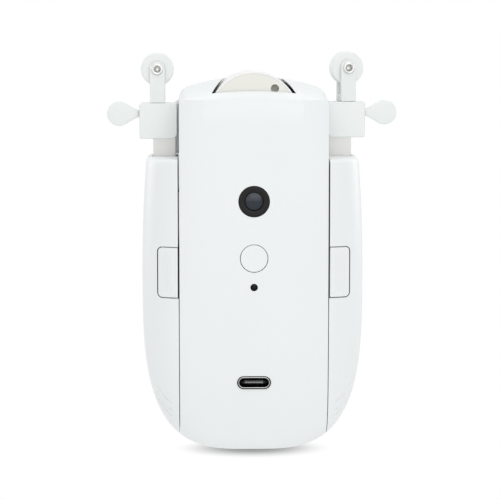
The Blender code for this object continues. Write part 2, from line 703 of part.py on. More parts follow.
def make_cover_screws():
    """The four screws that hold the rear cover and the drive frame to the front cover."""
    seat = FRAME_BACK_Y + COVER_SCREW_SEAT + GAP
    length = seat - (FRAME_FRONT_Y - SCREW_BITE)
    for i, (x, z) in enumerate(cover_screw_places(), start=1):
        screw = screw_form(f"rear_cover_screw_{i}", length)
        part(screw, "steel", (x, seat, z), (-math.pi / 2, 0.0, 0.0))


def screw_form(name, length):
    """A pan-head screw along -Z with the underside of its head at the local origin."""
    profile = [(0.0, SCREW_HEAD), (SCREW_HEAD_RADIUS - SCREW_HEAD / 2, SCREW_HEAD)]
    profile += [(SCREW_HEAD_RADIUS, SCREW_HEAD / 2), (SCREW_HEAD_RADIUS, 0.0), (SCREW_RADIUS, 0.0)]
    profile += [(SCREW_RADIUS, -length), (0.0, -length)]
    return turned(name, profile, closed=False, steps=HOLE_STEPS)


def make_side_shell(side_name, side, outer, inner):
    """A hollow side shell, open towards the column, with the shelf that its arm rests on."""
    deep = BODY_HALF_DEPTH + REACH
    outside = BODY_HALF_WIDTH + REACH
    shell = slab(f"{side_name}_side_shell", shell_outline(side), -deep, deep)
    part(shell, "white_shell")
    keep_inside(shell, outer)
    low = (side * (SHELL_IN - REACH), -deep, -REACH)
    core = tool(box(f"{side_name}_shell_core", low, (side * outside, deep, SHELL_TOP - WALL)))
    keep_inside(core, inner)
    shelf_corner = (side * (SHELL_IN + GAP), -SHELF_HALF_DEPTH, SHELF_BOTTOM)
    cut(core, tool(box(f"{side_name}_shelf", shelf_corner, (side * outside, SHELF_HALF_DEPTH, SHELF_TOP))))
    seat_corner = (side * (SHELL_IN + GAP), TAB_SEAT_Y, TAB_Z - TAB_HEIGHT / 3)
    seat_end = (side * outside, TAB_SEAT_Y + TAB_SEAT_THICKNESS, TAB_Z + TAB_HEIGHT / 3)
    cut(core, tool(box(f"{side_name}_tab_seat", seat_corner, seat_end)))
    for i, z in enumerate(SHELL_SCREW_HEIGHTS):
        start = (side * (SHELL_IN + GAP), SHELL_SCREW_Y, z)
        end = (side * outside, SHELL_SCREW_Y, z)
        cut(core, tool(rod(f"{side_name}_shell_boss_{i}", start, end, BOSS_RADIUS)))
    cut(shell, core)
    post_half = POST_DEPTH / 2 + GAP
    opening_out = side * (ARM_IN + POST_WIDTH + GAP)
    opening_low = (side * (SHELL_IN - REACH), -post_half, SHELF_TOP)
    opening_high = (opening_out, post_half, SHELL_TOP + REACH)
    cut(shell, tool(box(f"{side_name}_post_opening", opening_low, opening_high)))
    rod_start = (side * POST_X, 0.0, SHELF_BOTTOM - REACH)
    rod_end = (side * POST_X, 0.0, SHELF_TOP + REACH)
    cut(shell, tool(rod(f"{side_name}_rod_hole", rod_start, rod_end, ROD_RADIUS + GAP)))
    half = TAB_HEIGHT / 2 + GAP
    window_low = (side * (SHELL_IN - REACH), -deep, TAB_Z - half)
    window_high = (side * (TAB_OUT + GAP), TAB_BACK_Y, TAB_Z + half)
    cut(shell, tool(box(f"{side_name}_tab_window", window_low, window_high)))
    for i, z in enumerate(SHELL_SCREW_HEIGHTS):
        start = (side * (SHELL_IN - REACH), SHELL_SCREW_Y, z)
        end = (side * (SHELL_IN + SHELL_SCREW_BITE + GAP), SHELL_SCREW_Y, z)
        cut(shell, tool(rod(f"{side_name}_shell_pilot_{i}", start, end, SCREW_RADIUS + GAP)))
    return shell


def make_shell_screws(side_name, side):
    """The screws that hold a side shell, driven from inside the column."""
    seat = COLUMN_HALF_WIDTH - WALL - GAP
    length = SHELL_IN + SHELL_SCREW_BITE - seat
    for i, z in enumerate(SHELL_SCREW_HEIGHTS, start=1):
        screw = screw_form(f"{side_name}_shell_screw_{i}", length)
        part(screw, "steel", (side * seat, SHELL_SCREW_Y, z), (0.0, -side * math.pi / 2, 0.0))


def make_drive_frame():
    """The plate that carries the rear bearing, the idler pin and the motor."""
    half = COLUMN_HALF_WIDTH - WALL - FRAME_SIDE_GAP
    top = WHEEL_Z + BEARING_BOSS_RADIUS
    bottom = min(COVER_SCREW_HEIGHTS) - BOSS_RADIUS
    outlines = [rounded_rectangle(half, bottom, top, FRAME_CORNER)]
    outlines.append(circle((0.0, WHEEL_Z), BEARING_RADIUS + GAP))
    outlines.append(circle((0.0, IDLER_Z), IDLER_PIN_RADIUS + GAP, HOLE_STEPS))
    outlines.append(circle((0.0, MOTOR_Z), MOTOR_SHAFT_RADIUS + GAP, HOLE_STEPS))
    outlines += [circle(place, SCREW_RADIUS + GAP, HOLE_STEPS) for place in cover_screw_places()]
    frame = plate("drive_frame", outlines, FRAME_THICKNESS)
    part(frame, "frame_plastic", (0.0, (FRAME_FRONT_Y + FRAME_BACK_Y) / 2, 0.0))


def involute(angle):
    return math.tan(angle) - angle


def gear_outline(teeth, phase):
    """Involute teeth about the origin, with one tooth centred at the phase angle."""
    pitch = GEAR_MODULE * teeth / 2
    base = pitch * math.cos(GEAR_PRESSURE)
    tip = pitch + GEAR_ADDENDUM * GEAR_MODULE
    root = pitch - GEAR_DEDENDUM * GEAR_MODULE
    start = max(base, root)
    half_at_pitch = (math.pi * GEAR_MODULE / 2 - GEAR_BACKLASH) / (2 * pitch)
    flank = []
    for i in range(FLANK_POINTS):
        radius = start + (tip - start) * i / (FLANK_POINTS - 1)
        half = half_at_pitch + involute(GEAR_PRESSURE) - involute(math.acos(base / radius))
        flank.append((radius, half))
    if root < start:
        flank.insert(0, (root, flank[0][1]))
    points = []
    for tooth in range(teeth):
        centre = phase + 2 * math.pi * tooth / teeth
        sides = [(r, centre - half) for r, half in flank]
        sides += [(r, centre + half) for r, half in reversed(flank)]
        points += [(r * math.cos(a), r * math.sin(a)) for r, a in sides]
    return points


def mesh_phase(driver_phase, driver_teeth, teeth):
    """The phase of a gear below its driver, whose gap meets the driver's tooth on their centre line."""
    pitch_angle = 2 * math.pi / driver_teeth
    share = ((driver_phase + math.pi / 2) / pitch_angle) % 1.0
    return math.pi / 2 - (share - 0.5) * 2 * math.pi / teeth


def make_gear(name, teeth, phase, bore, parent):
    outlines = [gear_outline(teeth, phase), circle((0.0, 0.0), bore + GAP, HOLE_STEPS)]
    part(plate(name, outlines, GEAR_WIDTH), "gear_plastic", (0.0, GEAR_MID_Y, 0.0), parent=parent)


def axis_empty(name, z):
    """An empty on a turning axis along Y."""
    empty = bpy.data.objects.new(name, None)
    bpy.data.collections["curtain_robot"].objects.link(empty)
    empty.location = (0.0, 0.0, z)
    return empty


def make_drive_wheel():
    """The hub with its tyre, shaft and gear, on two bearings."""
    axis = axis_empty("drive_wheel_axis", WHEEL_Z)
    front = -WHEEL_FRONT_Y
    back = -WHEEL_BACK_Y
    recess = front - (BEARING_BOSS_END_Y - WHEEL_FRONT_Y) - WHEEL_SIDE_GAP
    web_back = front - HUB_WEB
    bore = SHAFT_RADIUS + GAP
    recess_radius = BEARING_BOSS_RADIUS + WHEEL_SIDE_GAP
    profile = [(HUB_RADIUS, front), (HUB_RADIUS, back), (HUB_RADIUS - HUB_RIM, back)]
    profile += [(HUB_RADIUS - HUB_RIM, web_back), (HUB_BOSS_RADIUS, web_back), (HUB_BOSS_RADIUS, back)]
    profile += [(bore, back), (bore, recess), (recess_radius, recess), (recess_radius, front)]
    hub = turned("drive_hub", profile, steps=FINE_STEPS)
    part(hub, "cream_wheel", rotation=FACING_FRONT, parent=axis)
    for i in range(HUB_HOLES):
        angle = HUB_HOLE_ANGLE + 2 * math.pi * i / HUB_HOLES
        x = HUB_HOLE_PLACE * math.cos(angle)
        y = HUB_HOLE_PLACE * math.sin(angle)
        start = (x, y, web_back - GAP)
        cut(hub, tool(rod(f"hub_hole_{i}", start, (x, y, front + GAP), HUB_HOLE_RADIUS, HOLE_STEPS), hub))
    tyre = ring("drive_tyre", WHEEL_RADIUS, HUB_RADIUS + GAP, back, front, FINE_STEPS)
    part(tyre, "wheel_rubber", rotation=FACING_FRONT, parent=axis)
    front_end = (0.0, BEARING_BOSS_END_Y - BEARING_WIDTH, 0.0)
    shaft = rod("drive_shaft", front_end, (0.0, GEAR_BACK_Y, 0.0), SHAFT_RADIUS, ROUND_STEPS)
    part(shaft, "steel", parent=axis)
    make_gear("wheel_gear", WHEEL_TEETH, -math.pi / 2, SHAFT_RADIUS, axis)
    middles = {"front_bearing": BEARING_BOSS_END_Y - BEARING_WIDTH / 2}
    middles["rear_bearing"] = (FRAME_FRONT_Y + FRAME_BACK_Y) / 2
    for name, y in middles.items():
        bearing = ring(name, BEARING_RADIUS, SHAFT_RADIUS + GAP, -BEARING_WIDTH / 2, BEARING_WIDTH / 2)
        part(bearing, "steel", (0.0, y, WHEEL_Z), FACING_FRONT)


def make_idler():
    """The idler gear and the pin it turns on, which is seated in the drive frame."""
    axis = axis_empty("idler_axis", IDLER_Z)
    phase = mesh_phase(-math.pi / 2, WHEEL_TEETH, IDLER_TEETH)
    make_gear("idler_gear", IDLER_TEETH, phase, IDLER_PIN_RADIUS, axis)
    start = (0.0, FRAME_FRONT_Y, IDLER_Z)
    part(rod("idler_pin", start, (0.0, GEAR_BACK_Y, IDLER_Z), IDLER_PIN_RADIUS), "steel")
    return phase


def make_motor(idler_phase):
    """The gear motor, seated on the drive frame, with its shaft and pinion."""
    axis = axis_empty("motor_axis", MOTOR_Z)
    front = -MOTOR_FRONT_Y
    back = -MOTOR_BACK_Y
    step = back + MOTOR_GEARBOX
    hole = MOTOR_SHAFT_RADIUS + GAP
    hole_end = back + MOTOR_GEARBOX / 2
    profile = [(0.0, front), (MOTOR_CAN_RADIUS, front), (MOTOR_CAN_RADIUS, step), (MOTOR_RADIUS, step)]
    profile += [(MOTOR_RADIUS, back), (hole, back), (hole, hole_end), (0.0, hole_end)]
    part(turned("gear_motor", profile, closed=False), "steel", (0.0, 0.0, MOTOR_Z), FACING_FRONT)
    start = (0.0, -hole_end + GAP, 0.0)
    shaft = rod("motor_shaft", start, (0.0, GEAR_BACK_Y, 0.0), MOTOR_SHAFT_RADIUS)
    part(shaft, "steel", parent=axis)
    phase = mesh_phase(idler_phase, IDLER_TEETH, PINION_TEETH)
    make_gear("motor_pinion", PINION_TEETH, phase, MOTOR_SHAFT_RADIUS, axis)


def make_sensor():
    """The dark bezel in the panel, its lens, and the chip behind it."""
    front = BODY_HALF_DEPTH
    flange = -FRONT_IN_Y - GAP
    back = flange - FLANGE_THICKNESS
    bore = LENS_RADIUS + GAP
    profile = [(SENSOR_RADIUS, front), (SENSOR_RADIUS, flange), (SENSOR_RADIUS + FLANGE_RIM, flange)]
    profile += [(SENSOR_RADIUS + FLANGE_RIM, back), (bore, back), (bore, front - LENS_SINK / 2)]
    profile += [(bore + LENS_SINK, front)]
    part(turned("sensor_bezel", profile), "black_trim", (0.0, 0.0, SENSOR_Z), FACING_FRONT)
    top = front - LENS_SINK
    bottom = top - LENS_THICKNESS
    lens = [(0.0, top), (LENS_RADIUS / 2, top - LENS_SINK / 10), (LENS_RADIUS, top - LENS_SINK / 2)]
    lens += [(LENS_RADIUS, bottom), (0.0, bottom)]
    part(turned("sensor_lens", lens, closed=False), "smoked_lens", (0.0, 0.0, SENSOR_Z), FACING_FRONT)
    half = SENSOR_CHIP_SIDE / 2
    chip_front = BOARD_FRONT_Y - GAP - SENSOR_CHIP_HEIGHT
    low = (-half, chip_front, SENSOR_Z - half)
    part(box("light_sensor", low, (half, BOARD_FRONT_Y - GAP, SENSOR_Z + half)), "black_trim")


def make_button():
    """The push button, the plunger it presses and the switch on the board."""
    front = BODY_HALF_DEPTH
    flange = -FRONT_IN_Y - GAP
    back = flange - FLANGE_THICKNESS
    plunger_back = -BOARD_FRONT_Y + BUTTON_TRAVEL + GAP
    switch_back = -BOARD_FRONT_Y + GAP
    plunger_front = switch_back + SWITCH_HEIGHT + BUTTON_TRAVEL + GAP
    stem = plunger_front + GAP
    profile = [(0.0, front), (BUTTON_RADIUS - GAP, front), (BUTTON_RADIUS, front - GAP)]
    profile += [(BUTTON_RADIUS, flange), (BUTTON_RADIUS + FLANGE_RIM, flange)]
    profile += [(BUTTON_RADIUS + FLANGE_RIM, back)]
    profile += [(PLUNGER_RADIUS, back), (PLUNGER_RADIUS, stem), (0.0, stem)]
    place = (0.0, 0.0, BUTTON_Z)
    part(turned("front_button", profile, closed=False), "white_shell", place, FACING_FRONT)
    plunger = [(0.0, plunger_front), (PLUNGER_RADIUS, plunger_front), (PLUNGER_RADIUS, plunger_back)]
    plunger += [(0.0, plunger_back)]
    part(turned("switch_plunger", plunger, closed=False), "black_trim", place, FACING_FRONT)
    half = SWITCH_SIDE / 2
    square = [(-half, BUTTON_Z - half), (half, BUTTON_Z - half)]
    square += [(half, BUTTON_Z + half), (-half, BUTTON_Z + half)]
    bore = circle((0.0, BUTTON_Z), PLUNGER_RADIUS + GAP)
    switch_y = -(switch_back + SWITCH_HEIGHT / 2)
    part(plate("tact_switch", [square, bore], SWITCH_HEIGHT), "frame_plastic", (0.0, switch_y, 0.0))


def make_light_pipe():
    """The indicator's light pipe, from the panel to the board."""
    start = (0.0, -BODY_HALF_DEPTH + GAP, LIGHT_PIPE_Z)
    end = (0.0, BOARD_FRONT_Y - GAP, LIGHT_PIPE_Z)
    part(rod("status_light_pipe", start, end, LIGHT_PIPE_RADIUS), "smoked_lens")


def make_inlet():
    """The charging inlet's metal shell and its tongue."""
    outer = stadium(INLET_WIDTH, INLET_HEIGHT, INLET_Z)
    inner = stadium(INLET_WIDTH - 2 * INLET_SKIN, INLET_HEIGHT - 2 * INLET_SKIN, INLET_Z)
    shell = plate("inlet_shell", [outer, inner], INLET_LENGTH)
    part(shell, "steel", (0.0, INLET_FRONT_Y + INLET_LENGTH / 2, 0.0))
    low = (-TONGUE_WIDTH / 2, INLET_FRONT_Y + TONGUE_SINK, INLET_Z - TONGUE_HEIGHT / 2)
    high = (TONGUE_WIDTH / 2, INLET_FRONT_Y + INLET_LENGTH, INLET_Z + TONGUE_HEIGHT / 2)
    part(box("inlet_tongue", low, high), "black_trim")


def make_board():
    """The main board on its posts behind the panel."""
    outline = rounded_rectangle(BOARD_HALF_WIDTH, BOARD_BOTTOM, BOARD_TOP, BOARD_POST_INSET / 2)
    board = plate("main_board", [outline], BOARD_THICKNESS)
    part(board, "board_green", (0.0, (BOARD_FRONT_Y + BOARD_BACK_Y) / 2, 0.0))


def make_battery():
    """The battery pack, seated on the drive frame below the motor."""
    outline = rounded_rectangle(BATTERY_HALF_WIDTH, BATTERY_BOTTOM, BATTERY_TOP, BATTERY_ROUND)
    pack = plate("battery_pack", [outline], BATTERY_THICKNESS)
    part(pack, "battery_wrap", (0.0, BATTERY_BACK_Y - BATTERY_THICKNESS / 2, 0.0))


def make_leads():
    """The two leads, from the battery and the motor to the back of the board."""
    x = BATTERY_HALF_WIDTH - 4 * LEAD_RADIUS
    y = BATTERY_BACK_Y - BATTERY_THICKNESS / 2
    board_y = BOARD_BACK_Y + GAP
    rise = BATTERY_MOTOR_GAP - 2 * LEAD_RADIUS
    battery_z = BATTERY_TOP + GAP
    landing = battery_z + rise
    pulls = ((x, y, landing + rise), (x, (y + board_y) / 2, landing))
    part(lead("battery_lead", (x, y, battery_z), *pulls, (x, board_y, landing)), "lead_sleeve")
    motor_y = MOTOR_FRONT_Y - GAP
    side_x = MOTOR_CAN_RADIUS
    middle = (motor_y + board_y) / 2
    pulls = ((0.0, middle, MOTOR_Z), (side_x, middle, MOTOR_Z))
    part(lead("motor_lead", (0.0, motor_y, MOTOR_Z), *pulls, (side_x, board_y, MOTOR_Z)), "lead_sleeve")


def make_arm(side_name, side):
    """A sliding arm: the block on top, its post in the side shell, and the rod that its spring pulls."""
    origin = Vector((side * POST_X, 0.0, SHELL_TOP))

    def local(x, y, z):
        return Vector((side * x, y, z)) - origin

    quarter = math.pi / 2
    bend_centre = (ARM_IN + BLOCK_CORNER, BLOCK_BOTTOM + BLOCK_CORNER)
    bend = arc(bend_centre, BLOCK_CORNER, 2 * quarter, 3 * quarter, CORNER_STEPS)
    outline = [*bend, (BLOCK_OUT, BLOCK_BOTTOM), (BLOCK_OUT, BLOCK_TOP), (ARM_IN, BLOCK_TOP)]
    outline = [(side * (x - POST_X), z - SHELL_TOP) for x, z in outline]
    arm = plate(f"{side_name}_arm", [outline], BLOCK_DEPTH)
    part(arm, "white_arm", origin + Vector((0.0, 0.0, ARM_LIFT[side_name])))
    post_low = local(ARM_IN + GAP, -POST_DEPTH / 2, POST_BOTTOM)
    post_high = local(ARM_IN + POST_WIDTH, POST_DEPTH / 2, BLOCK_BOTTOM + BLOCK_HEIGHT / 2)
    join(arm, tool(box(f"{side_name}_post", post_low, post_high), arm))
    rod_low = local(POST_X, 0.0, ROD_BOTTOM)
    join(arm, tool(rod(f"{side_name}_arm_rod", rod_low, local(POST_X, 0.0, SHELL_TOP), ROD_RADIUS), arm))
    pin_low = local(FORK_X, 0.0, FORK_BOTTOM - FORK_PIN_LENGTH - GAP)
    pin_high = local(FORK_X, 0.0, BLOCK_TOP + REACH)
    cut(arm, tool(rod(f"{side_name}_pin_hole", pin_low, pin_high, FORK_PIN_RADIUS + GAP), arm))
    clamp_in = local(FORK_X, 0.0, CLAMP_Z)
    clamp_out = local(BLOCK_OUT + REACH, 0.0, CLAMP_Z)
    cut(arm, tool(rod(f"{side_name}_clamp_hole", clamp_in, clamp_out, CLAMP_RADIUS + GAP), arm))
    nut = ring(f"{side_name}_rod_nut", NUT_RADIUS, ROD_RADIUS + GAP, -NUT_HEIGHT, 0.0, NUT_SIDES)
    part(nut, "steel", local(POST_X, 0.0, NUT_TOP), parent=arm)
    lift = ARM_LIFT[side_name]
    length = SHELF_BOTTOM - GAP - (NUT_TOP + GAP + lift)
    spring = coil(f"{side_name}_arm_spring", ARM_SPRING_RADIUS, ARM_SPRING_WIRE, length, ARM_SPRING_TURNS)
    part(spring, "steel", (side * POST_X, 0.0, NUT_TOP + GAP + lift))
    make_clamp_screw(side_name, side, arm, local(BLOCK_OUT, 0.0, CLAMP_Z))
    make_fork(side_name, arm, local(FORK_X, 0.0, FORK_BOTTOM))


def make_clamp_screw(side_name, side, arm, place):
    """The thumb screw that clamps the fork's pin: a flat teardrop paddle on a thin shank."""
    centre = PADDLE_REACH
    neck = CLAMP_RADIUS
    outline = arc((centre, 0.0), PADDLE_RADIUS, -PADDLE_SWEEP, PADDLE_SWEEP, PADDLE_STEPS)
    shoulder_x, shoulder_z = outline[-1]
    flare = []
    for i in range(1, FLARE_STEPS + 1):
        share = i / FLARE_STEPS
        ease = 0.5 + 0.5 * math.cos(math.pi * share)
        flare.append((GAP + (shoulder_x - GAP) * (1 - share), neck + (shoulder_z - neck) * ease))
    outline += flare + [(x, -z) for x, z in reversed(flare)]
    screw = plate(f"{side_name}_clamp_screw", [[(side * x, z) for x, z in outline]], PADDLE_THICKNESS)
    part(screw, "white_arm", place, parent=arm)
    tip = FORK_X + FORK_PIN_RADIUS + GAP - BLOCK_OUT
    shank_start = (side * tip, 0.0, 0.0)
    shank_end = (side * centre, 0.0, 0.0)
    shank = rod(f"{side_name}_clamp_shank", shank_start, shank_end, CLAMP_RADIUS - GAP / 4)
    join(screw, tool(shank, screw))


def make_fork(side_name, arm, place):
    """A swivelling fork with its pin in the block, and the roller on its tubular rivet."""
    half = FORK_WIDTH / 2
    head = arc((0.0, ROLLER_RISE), half, math.pi, 0.0, STADIUM_STEPS)
    fork = plate(f"{side_name}_fork", [[(-half, 0.0), *head, (half, 0.0)]], 2 * PRONG_OUT)
    part(fork, "white_arm", place, (0.0, 0.0, FORK_TWIST[side_name]), arm)
    gap_high = (half + REACH, PRONG_IN, ROLLER_RISE + REACH)
    cut(fork, tool(box(f"{side_name}_fork_gap", (-half - REACH, -PRONG_IN, FORK_BASE), gap_high), fork))
    pin_top = (0.0, 0.0, FORK_BASE / 2)
    pin = rod(f"{side_name}_fork_pin", (0.0, 0.0, -FORK_PIN_LENGTH), pin_top, FORK_PIN_RADIUS)
    join(fork, tool(pin, fork))
    hole_half = PRONG_OUT + REACH
    hole_start = (0.0, -hole_half, ROLLER_RISE)
    hole = rod(f"{side_name}_rivet_hole", hole_start, (0.0, hole_half, ROLLER_RISE), RIVET_RADIUS + GAP)
    cut(fork, tool(hole, fork))
    axle = (0.0, 0.0, ROLLER_RISE)
    outer = ROLLER_WIDTH / 2
    bore = RIVET_RADIUS + GAP
    inset = ROLLER_RADIUS - ROLLER_ROUND
    profile = [(inset, outer), (ROLLER_RADIUS, outer - ROLLER_ROUND), (ROLLER_RADIUS, ROLLER_ROUND - outer)]
    profile += [(inset, -outer), (bore, -outer), (bore, outer)]
    part(turned(f"{side_name}_roller", profile), "white_arm", axle, FACING_FRONT, fork)
    head_in = PRONG_OUT + GAP
    head_out = head_in + RIVET_HEAD
    profile = [(RIVET_HEAD_RADIUS, head_out), (RIVET_HEAD_RADIUS, head_in), (RIVET_RADIUS, head_in)]
    profile += [(radius, -height) for radius, height in reversed(profile)]
    profile += [(RIVET_BORE, -head_out), (RIVET_BORE, head_out)]
    part(turned(f"{side_name}_axle", profile), "steel", axle, FACING_FRONT, fork)


def make_release_tab(side_name, side, outer, behind):
    """A release tab in the side shell's window, with its flange behind the wall and its spring."""
    deep = BODY_HALF_DEPTH + REACH
    half = TAB_HEIGHT / 2
    tab_low = (side * SHELL_IN, -deep, TAB_Z - half)
    tab = box(f"{side_name}_release_tab", tab_low, (side * TAB_OUT, TAB_BACK_Y, TAB_Z + half))
    part(tab, "white_shell")
    keep_inside(tab, outer)
    wide = half + TAB_FLANGE
    flange_high = (side * TAB_OUT, TAB_BACK_Y, TAB_Z + wide)
    flange = tool(box(f"{side_name}_tab_flange", (side * SHELL_IN, -deep, TAB_Z - wide), flange_high))
    join(tab, keep_inside(flange, behind))
    pocket_radius = TAB_SPRING_RADIUS + TAB_SPRING_WIRE + GAP
    pocket_start = (side * TAB_SPRING_X, TAB_BACK_Y - TAB_POCKET, TAB_Z)
    pocket_end = (side * TAB_SPRING_X, TAB_BACK_Y + REACH, TAB_Z)
    cut(tab, tool(rod(f"{side_name}_spring_pocket", pocket_start, pocket_end, pocket_radius)))
    spring_front = TAB_BACK_Y - TAB_POCKET + TAB_TRAVEL + GAP
    length = TAB_SEAT_Y - GAP - spring_front
    spring = coil(f"{side_name}_tab_spring", TAB_SPRING_RADIUS, TAB_SPRING_WIRE, length, TAB_SPRING_TURNS)
    part(spring, "steel", (side * TAB_SPRING_X, TAB_SEAT_Y - GAP, TAB_Z), FACING_FRONT)


def main():
    clear_scene()
    make_finishes()
    outer, inner, behind = make_forms()
    domes = make_domes()
    make_front_cover(outer, inner, domes)
    make_rear_cover(outer, inner, domes)
    make_cover_screws()
    make_drive_frame()
    make_drive_wheel()
    make_motor(make_idler())
    make_sensor()
    make_button()
    make_light_pipe()
    make_inlet()
    make_board()
    make_battery()
    make_leads()
    for side_name, side in SIDES.items():
        make_side_shell(side_name, side, outer, inner)
        make_shell_screws(side_name, side)
        make_release_tab(side_name, side, outer, behind)
        make_arm(side_name, side)


main()
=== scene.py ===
"""The looks of a rail-hung curtain robot: its visible pieces, their finishes, the studio and the camera.

Metres, +Z up, +X to the right and -Y to the front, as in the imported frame. The white mouldings, the
wheel, the arms with their springs and the small fittings are rebuilt here with soft edges, and the
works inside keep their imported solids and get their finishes.
"""

from __future__ import annotations

import json
import logging
import math
from abc import ABC, abstractmethod
from collections.abc import Iterable, Sequence
from dataclasses import dataclass, field
from enum import Enum
from typing import ClassVar

import bmesh
import bpy
from mathutils import Matrix, Vector

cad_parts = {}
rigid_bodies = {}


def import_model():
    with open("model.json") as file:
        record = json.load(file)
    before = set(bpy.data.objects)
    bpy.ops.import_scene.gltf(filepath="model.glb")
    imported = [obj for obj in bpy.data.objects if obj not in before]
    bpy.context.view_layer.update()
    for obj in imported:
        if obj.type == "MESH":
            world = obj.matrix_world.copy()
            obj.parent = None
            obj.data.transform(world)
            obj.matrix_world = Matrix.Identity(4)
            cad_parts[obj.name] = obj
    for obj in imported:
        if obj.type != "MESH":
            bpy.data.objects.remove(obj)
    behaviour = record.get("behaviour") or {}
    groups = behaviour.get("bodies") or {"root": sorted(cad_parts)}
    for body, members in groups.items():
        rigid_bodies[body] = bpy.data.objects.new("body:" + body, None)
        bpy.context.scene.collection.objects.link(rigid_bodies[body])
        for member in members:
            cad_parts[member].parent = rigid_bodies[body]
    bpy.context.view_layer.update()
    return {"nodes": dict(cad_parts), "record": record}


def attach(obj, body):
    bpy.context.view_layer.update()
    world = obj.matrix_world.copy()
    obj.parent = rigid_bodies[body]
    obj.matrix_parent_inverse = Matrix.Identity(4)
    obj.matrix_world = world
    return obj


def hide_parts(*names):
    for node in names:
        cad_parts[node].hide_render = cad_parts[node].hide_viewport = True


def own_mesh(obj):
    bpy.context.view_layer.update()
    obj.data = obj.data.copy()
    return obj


LOG = logging.getLogger("curtain_robot")
MM = 0.001
QUARTER = math.pi / 2
WHITE = (1.0, 1.0, 1.0, 1.0)
BLACK = (0.0, 0.0, 0.0, 1.0)
# The least length that anything is divided by
TINY = 1e-12
# Faces that meet at more than this angle keep a sharp edge between them
SHARP = math.radians(34.0)
# The value that a noise pattern varies about
PATTERN_MIDDLE = 0.5
# How many lengths a curve of the body is measured by, and how many a cutting bar has
SAMPLES = 60
PATH_STEPS = 24
# Heights that a cover shares with what stands in its opening
WHEEL_Z = 95.3 * MM
SENSOR_Z = 72.1 * MM
BUTTON_Z = 56.2 * MM
TAB_Z = 52.1 * MM
INDICATOR_Z = 48.1 * MM
INLET_Z = 21.2 * MM

Flat = tuple[float, float]
Triple = tuple[float, float, float]
Colour = Triple


class Side(Enum):
    """The two sides of the robot, seen from the front."""

    LEFT = -1
    RIGHT = 1

    @property
    def word(self) -> str:
        """The side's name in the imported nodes."""
        return self.name.lower()

    def mirrored(self, outline: Iterable[Flat]) -> list[Flat]:
        """An outline of the right side, on this side."""
        return [(self.value * x, z) for x, z in outline]


class Boolean(Enum):
    """What one shape does to another."""

    CUT = "DIFFERENCE"
    JOIN = "UNION"


class Slot(Enum):
    """The record's material slots."""

    WHITE_SHELL = "white_shell"
    WHITE_ARM = "white_arm"
    CREAM_WHEEL = "cream_wheel"
    WHEEL_RUBBER = "wheel_rubber"
    BLACK_TRIM = "black_trim"
    SMOKED_LENS = "smoked_lens"
    STEEL = "steel"
    GEAR_PLASTIC = "gear_plastic"
    FRAME_PLASTIC = "frame_plastic"
    BOARD_GREEN = "board_green"
    BATTERY_WRAP = "battery_wrap"
    LEAD_SLEEVE = "lead_sleeve"


class Wire:
    """An output socket of a shader node, on which values are worked out with Python's operators."""

    def __init__(self, graph: Graph, socket: bpy.types.NodeSocket) -> None:
        """Keeps the socket and the graph it belongs to."""
        self.graph = graph
        self.socket = socket

    def _maths(self, operation: str, first: Wire | float, second: Wire | float) -> Wire:
        """The output of a new Math node that works on two values."""
        return self.graph.node("ShaderNodeMath", {"operation": operation}, {0: first, 1: second})

    def __add__(self, other: Wire | float) -> Wire:
        """The sum of two values."""
        return self._maths("ADD", self, other)

    def __sub__(self, other: Wire | float) -> Wire:
        """This value less another."""
        return self._maths("SUBTRACT", self, other)

    def __rsub__(self, other: float) -> Wire:
        """A number less this value."""
        return self._maths("SUBTRACT", other, self)

    def __mul__(self, other: Wire | float) -> Wire:
        """The product of two values."""
        return self._maths("MULTIPLY", self, other)

    def at_least(self, other: Wire | float) -> Wire:
        """The larger of two values."""
        return self._maths("MAXIMUM", self, other)

    __radd__ = __add__
    __rmul__ = __mul__


